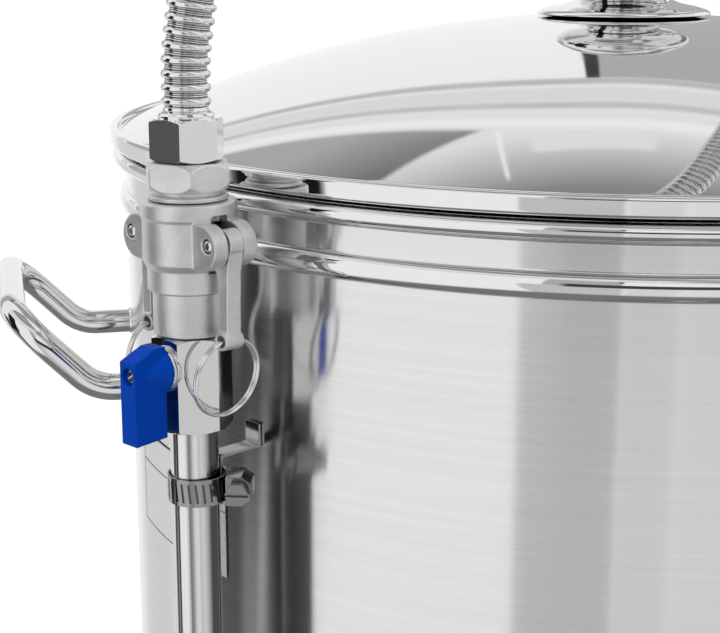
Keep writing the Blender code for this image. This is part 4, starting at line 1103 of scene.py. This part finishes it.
def make_display(front, pane):
    """The smoked pane and a thin bezel round it."""
    a, b = pane
    window = block("display_pane", (a.x, front + 0.0004, a.z), (b.x, front + 0.0026, b.z), 0.0004)
    finish_piece(window, WINDOW, "kettle", replaces=("display_window",))
    inset, proud = 0.0016, 0.0007
    edge = 2 * inset
    bezel = block("display_bezel", (a.x - edge, front - proud, a.z - edge),
                  (b.x + edge, front + 0.0012, b.z + edge), 0.0006)
    bezel = combine(bezel, opening(front, pane, -inset, -inset, 0.01), "DIFFERENCE")
    finish_piece(bezel, BLACK, "kettle")


def make_tap():
    """The drain tap: turned body with a round flange at the wall, threaded outlet, lever with a hex nut on
    its stem, and grip.
    """
    lever_low, lever_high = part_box("tap_lever")
    body_low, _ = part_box("tap_body")
    _, hinge_y, z = JOINTS["tap_turn"]["pos_m"]
    wall, stem = -KETTLE_R - 0.0003, -hinge_y
    length, centre = -body_low.y + wall, stem + wall
    bore, tail, neck, collar, belly, flange = 0.0075, 0.0104, 0.0125, 0.0128, 0.0150, 0.0165
    at = Matrix.Translation((0, wall, z)) @ Matrix.Rotation(QUARTER, 4, "X")
    pitch, threads = 0.0014, []
    for i in range(9):
        start = length - 0.0012 - i * pitch
        threads += [(0.0103, start), (0.0096, start - pitch / 2)]
    section = [
        (bore, length), (0.0098, length), *threads, (collar, length - 0.0150), (collar, length - 0.0200),
        (belly, centre + 0.0090), (flange, centre), (belly, centre - 0.0090), (neck, centre - 0.0150),
        (neck, 0.0060), (flange, 0.0056), (flange, 0.0), (tail, 0.0), (tail, -0.0160), (bore, -0.0160),
        (bore, centre - 0.0110), (bore, centre + 0.0110)]
    finish_piece(turned("tap_casting", section, 0.0004, steps=2), TURNED, "kettle", at, ("tap_body",))
    boss = rod("tap_neck", 0.0065, (0, 0.0135, centre), (0, 0.0205, centre), soft=0.0006)
    finish_piece(boss, TURNED, "kettle", at)
    blade = block("tap_blade", lever_low, lever_high, 0.0012)
    finish_piece(blade, POLISHED, "drain_valve", replaces=("tap_lever",))
    nut = hexagon("tap_stem_nut", 0.0085, 0, 0.0026, 0.0, 0.0006, 0.2)
    finish_piece(nut, POLISHED, "drain_valve", Matrix.Translation((0, -stem, lever_high.z)))
    grip = block("tap_sleeve", *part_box("tap_grip"), 0.0034, 5)
    finish_piece(grip, BLACK, "drain_valve", replaces=("tap_grip",))


def repaint():
    """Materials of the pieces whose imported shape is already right."""
    looks = {
        WALL: "basket_wall basket_sieve basket_stand",
        POLISHED: "temperature_probe pump_inlet_tube lid_screw valve_ball tap_ball",
        TURNED: "heating_element",
        BLACK: "base_plate power_inlet pump_volute pump_motor rocker_switch",
        WHITE: "pump_impeller",
        RUBBER: "camlock_gasket",
        LAMINATE: "control_board",
    }
    for look, names in looks.items():
        for name in names.split():
            NODES[name].data.materials.clear()
            NODES[name].data.materials.append(look)


# ---------------------------------------------------------------- studio
WEDGE_SLOPE, WEDGE_START = -0.33, 40.2
SKY_R = 40.0


# Arches and cards: low and high limit and soft edge in degrees, then brightness.
ARCHES = (
    (34.0, 35.6, 0.4, 0.56), (36.2, 39.6, 0.5, 0.80), (39.8, 41.4, 0.5, 0.60), (41.8, 43.6, 0.4, 0.86),
    (66.0, 90.0, 4.0, 0.35),
)
WINDOWS = (
    ((-6.0, 7.0, 0.5), (46.0, 49.5, 0.3), 0.84),
    ((-16.0, 0.0, 0.3), (-6.0, 34.0, 0.3), 0.46),
    ((-0.5, 0.5, 0.1), (24.0, 34.0, 0.2), 0.06),
)
CARDS = (
    (104.0, 130.0, 4.0, 0.72), (143.0, 161.0, 3.0, 0.08), (161.0, 165.0, 1.0, 0.22),
    (199.0, 226.0, 2.0, 0.97), (229.0, 250.0, 0.5, 0.60), (250.4, 262.0, 1.0, 0.76),
    (262.0, 275.0, 2.0, 0.82), (275.0, 290.0, 2.0, 0.66), (290.0, 330.0, 2.0, 0.70),
    (331.0, 361.0, 3.0, 0.22), (-1.0, 50.0, 14.0, 0.22),
)


class Sky:
    """The studio as reflections see it: a brightness for each direction, one panel over another."""

    def __init__(self, tree):
        self.tree = tree
        self.level = 0.97
        where = node(tree, "ShaderNodeTexCoord").outputs["Object"]
        direction = node(tree, "ShaderNodeVectorMath", {0: where}, operation="NORMALIZE").outputs["Vector"]
        x, y, z = node(tree, "ShaderNodeSeparateXYZ", {"Vector": direction}).outputs
        azimuth = self.calc("DEGREES", self.calc("ARCTAN2", y, x))
        self.height = self.calc("DEGREES", self.calc("ARCSINE", z))
        self.full = self.calc("WRAP", azimuth, 360.0, 0.0)
        self.turn = self.calc("WRAP", self.calc("SUBTRACT", azimuth, 70.0), 90.0, -90.0)

    def calc(self, kind, *inputs):
        return calc(self.tree, kind, *inputs)

    def band(self, value, low, high, soft):
        return inside(self.tree, value, low, high, soft)

    def panel(self, brightness, *masks):
        """Sets the brightness where every mask is 1, and keeps what was there elsewhere."""
        mask = masks[0]
        for other in masks[1:]:
            mask = self.calc("MULTIPLY", mask, other)
        gap = self.calc("SUBTRACT", brightness, self.level)
        self.level = self.calc("MULTIPLY_ADD", gap, mask, self.level)


def hang_ceiling(sky):
    """Overhead: level arches, a wedge of dim ceiling, a window and its bright edge."""
    height, turn = sky.height, sky.turn
    beyond = sky.calc("MAXIMUM", turn, 0.0)
    arch = sky.calc("MULTIPLY_ADD", sky.calc("MULTIPLY", beyond, beyond), 0.021, height)
    above = sky.band(height, 1.5, 91.0, 1.5)
    for low, high, soft, brightness in ARCHES:
        sky.panel(brightness, above, sky.band(arch, low, high, soft))
    glow = between(sky.tree, height, 0.85, 0.28, 46.0, 56.0)
    sky.panel(glow, above, sky.band(arch, 45.5, 66.0, 0.5))
    slope = sky.calc("MULTIPLY_ADD", turn, WEDGE_SLOPE, sky.calc("ADD", height, -WEDGE_START))
    dim = between(sky.tree, height, 0.45, 0.20, 38.0, 47.0)
    sky.panel(dim, above, sky.band(slope, -60.0, 0.0, 0.35), sky.band(arch, 46.3, 90.0, 0.4))
    seam = sky.calc("MULTIPLY_ADD", height, -0.186, turn)
    sky.panel(0.97, sky.band(seam, 0.95, 1.45, 0.12), sky.band(height, 44.5, 53.5, 0.5))
    for sideways, upward, brightness in WINDOWS:
        sky.panel(brightness, sky.band(turn, *sideways), sky.band(height, *upward))


def stand_cards(sky):
    """Below the rim: cards that stand round the kettle, dark, grey and white in turn."""
    height, full = sky.height, sky.full
    below = sky.band(height, -91.0, 0.5, 1.5)
    for low, high, soft, brightness in CARDS:
        sky.panel(brightness, below, sky.band(full, low, high, soft))
    rise = sky.calc("MINIMUM", sky.calc("MAXIMUM", sky.calc("ADD", height, 24.0), 0.0), 14.0)
    lean = sky.calc("MULTIPLY", sky.calc("MULTIPLY", rise, rise), 0.05)
    from_right = sky.calc("SUBTRACT", sky.calc("SUBTRACT", full, lean), 176.2)
    sky.panel(0.0, sky.band(height, -91.0, 26.0, 1.5), sky.band(from_right, -10.0, 0.5, 1.0))
    sky.panel(0.01, sky.band(height, -19.0, 26.0, 1.5), sky.band(from_right, -24.0, 0.0, 1.5))
    sky.panel(0.20, sky.band(height, -95.0, -44.0, 5.0))
    sky.panel(0.06, sky.band(height, -4.0, 12.0, 1.0), sky.band(full, 238.0, 284.0, 1.0))


def make_studio():
    """A white studio. Only reflections see its panels, on a far sphere round the kettle."""
    world = bpy.data.worlds.new("studio")
    bpy.context.scene.world = world
    world.use_nodes = True
    background = world.node_tree.nodes["Background"]
    background.inputs["Color"].default_value = (1, 1, 1, 1)
    background.inputs["Strength"].default_value = 1.12
    world.cycles_visibility.glossy = False
    look = bpy.data.materials.new("studio_panels")
    look.use_nodes = True
    look.cycles.emission_sampling = "NONE"
    tree = look.node_tree
    tree.nodes.clear()
    sky = Sky(tree)
    hang_ceiling(sky)
    stand_cards(sky)
    shine = node(tree, "ShaderNodeEmission", {"Color": sky.level, "Strength": 1.0})
    node(tree, "ShaderNodeOutputMaterial", {"Surface": shine.outputs[0]})
    profile = [(0, -SKY_R)] + arc(0, 0, SKY_R, -87, 87, 58) + [(0, SKY_R)]
    sphere = turned("studio_sphere", profile, 0, ring=False)
    sphere.location = (0, 0, RIM_Z)
    sphere.data.materials.append(look)
    for ray in ("camera", "diffuse", "shadow", "transmission"):
        setattr(sphere, "visible_" + ray, False)


def make_stage():
    """The pale floor and a soft lamp overhead, which nothing reflects."""
    reach, z = 6.0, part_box("foot_front_left")[0].z
    corners = [(-reach, -reach, z), (reach, -reach, z), (reach, reach, z), (-reach, reach, z)]
    floor = bpy.data.meshes.new("floor")
    floor.from_pydata(corners, [], [(0, 1, 2, 3)])
    floor.materials.append(new_material("pale_floor", grey(0.93, 0), 0.0, 0.7)[0])
    ground = new_object("floor", floor)
    ground.visible_glossy = False
    light = bpy.data.lights.new("soft_overhead", "AREA")
    light.shape = "DISK"
    light.size = 2.4
    light.energy = 48
    lamp = new_object("soft_overhead", light)
    lamp.location = (-0.8, -1.0, 2.6)
    lamp.rotation_euler = (Vector((0, 0, 0.5)) - lamp.location).to_track_quat("-Z", "Y").to_euler()
    lamp.visible_glossy = False
    bpy.context.scene.view_settings.view_transform = "Standard"


def build():
    """Makes every piece, the studio and the camera."""
    make_camera()
    make_hose()
    make_shell()
    make_handle("handle_left", -1)
    make_handle("handle_right", 1)
    make_label()
    make_lid()
    make_knob()
    make_union_nut("hose_union", RISER, 0.0123, 0.0277, NUT_TWIST, "hose_nut")
    make_nipple()
    make_coupler()
    make_adapter()
    for word, side in (("right", 1), ("left", -1)):
        make_cam_arm(word, side)
        make_pin(word, side)
        make_split_ring(word, side)
    make_valve()
    make_valve_handle()
    make_riser_pipe()
    make_clamp()
    make_bracket()
    make_return()
    make_base()
    make_controls()
    make_tap()
    repaint()
    make_studio()
    make_stage()


build()
bpy.context.view_layer.update()
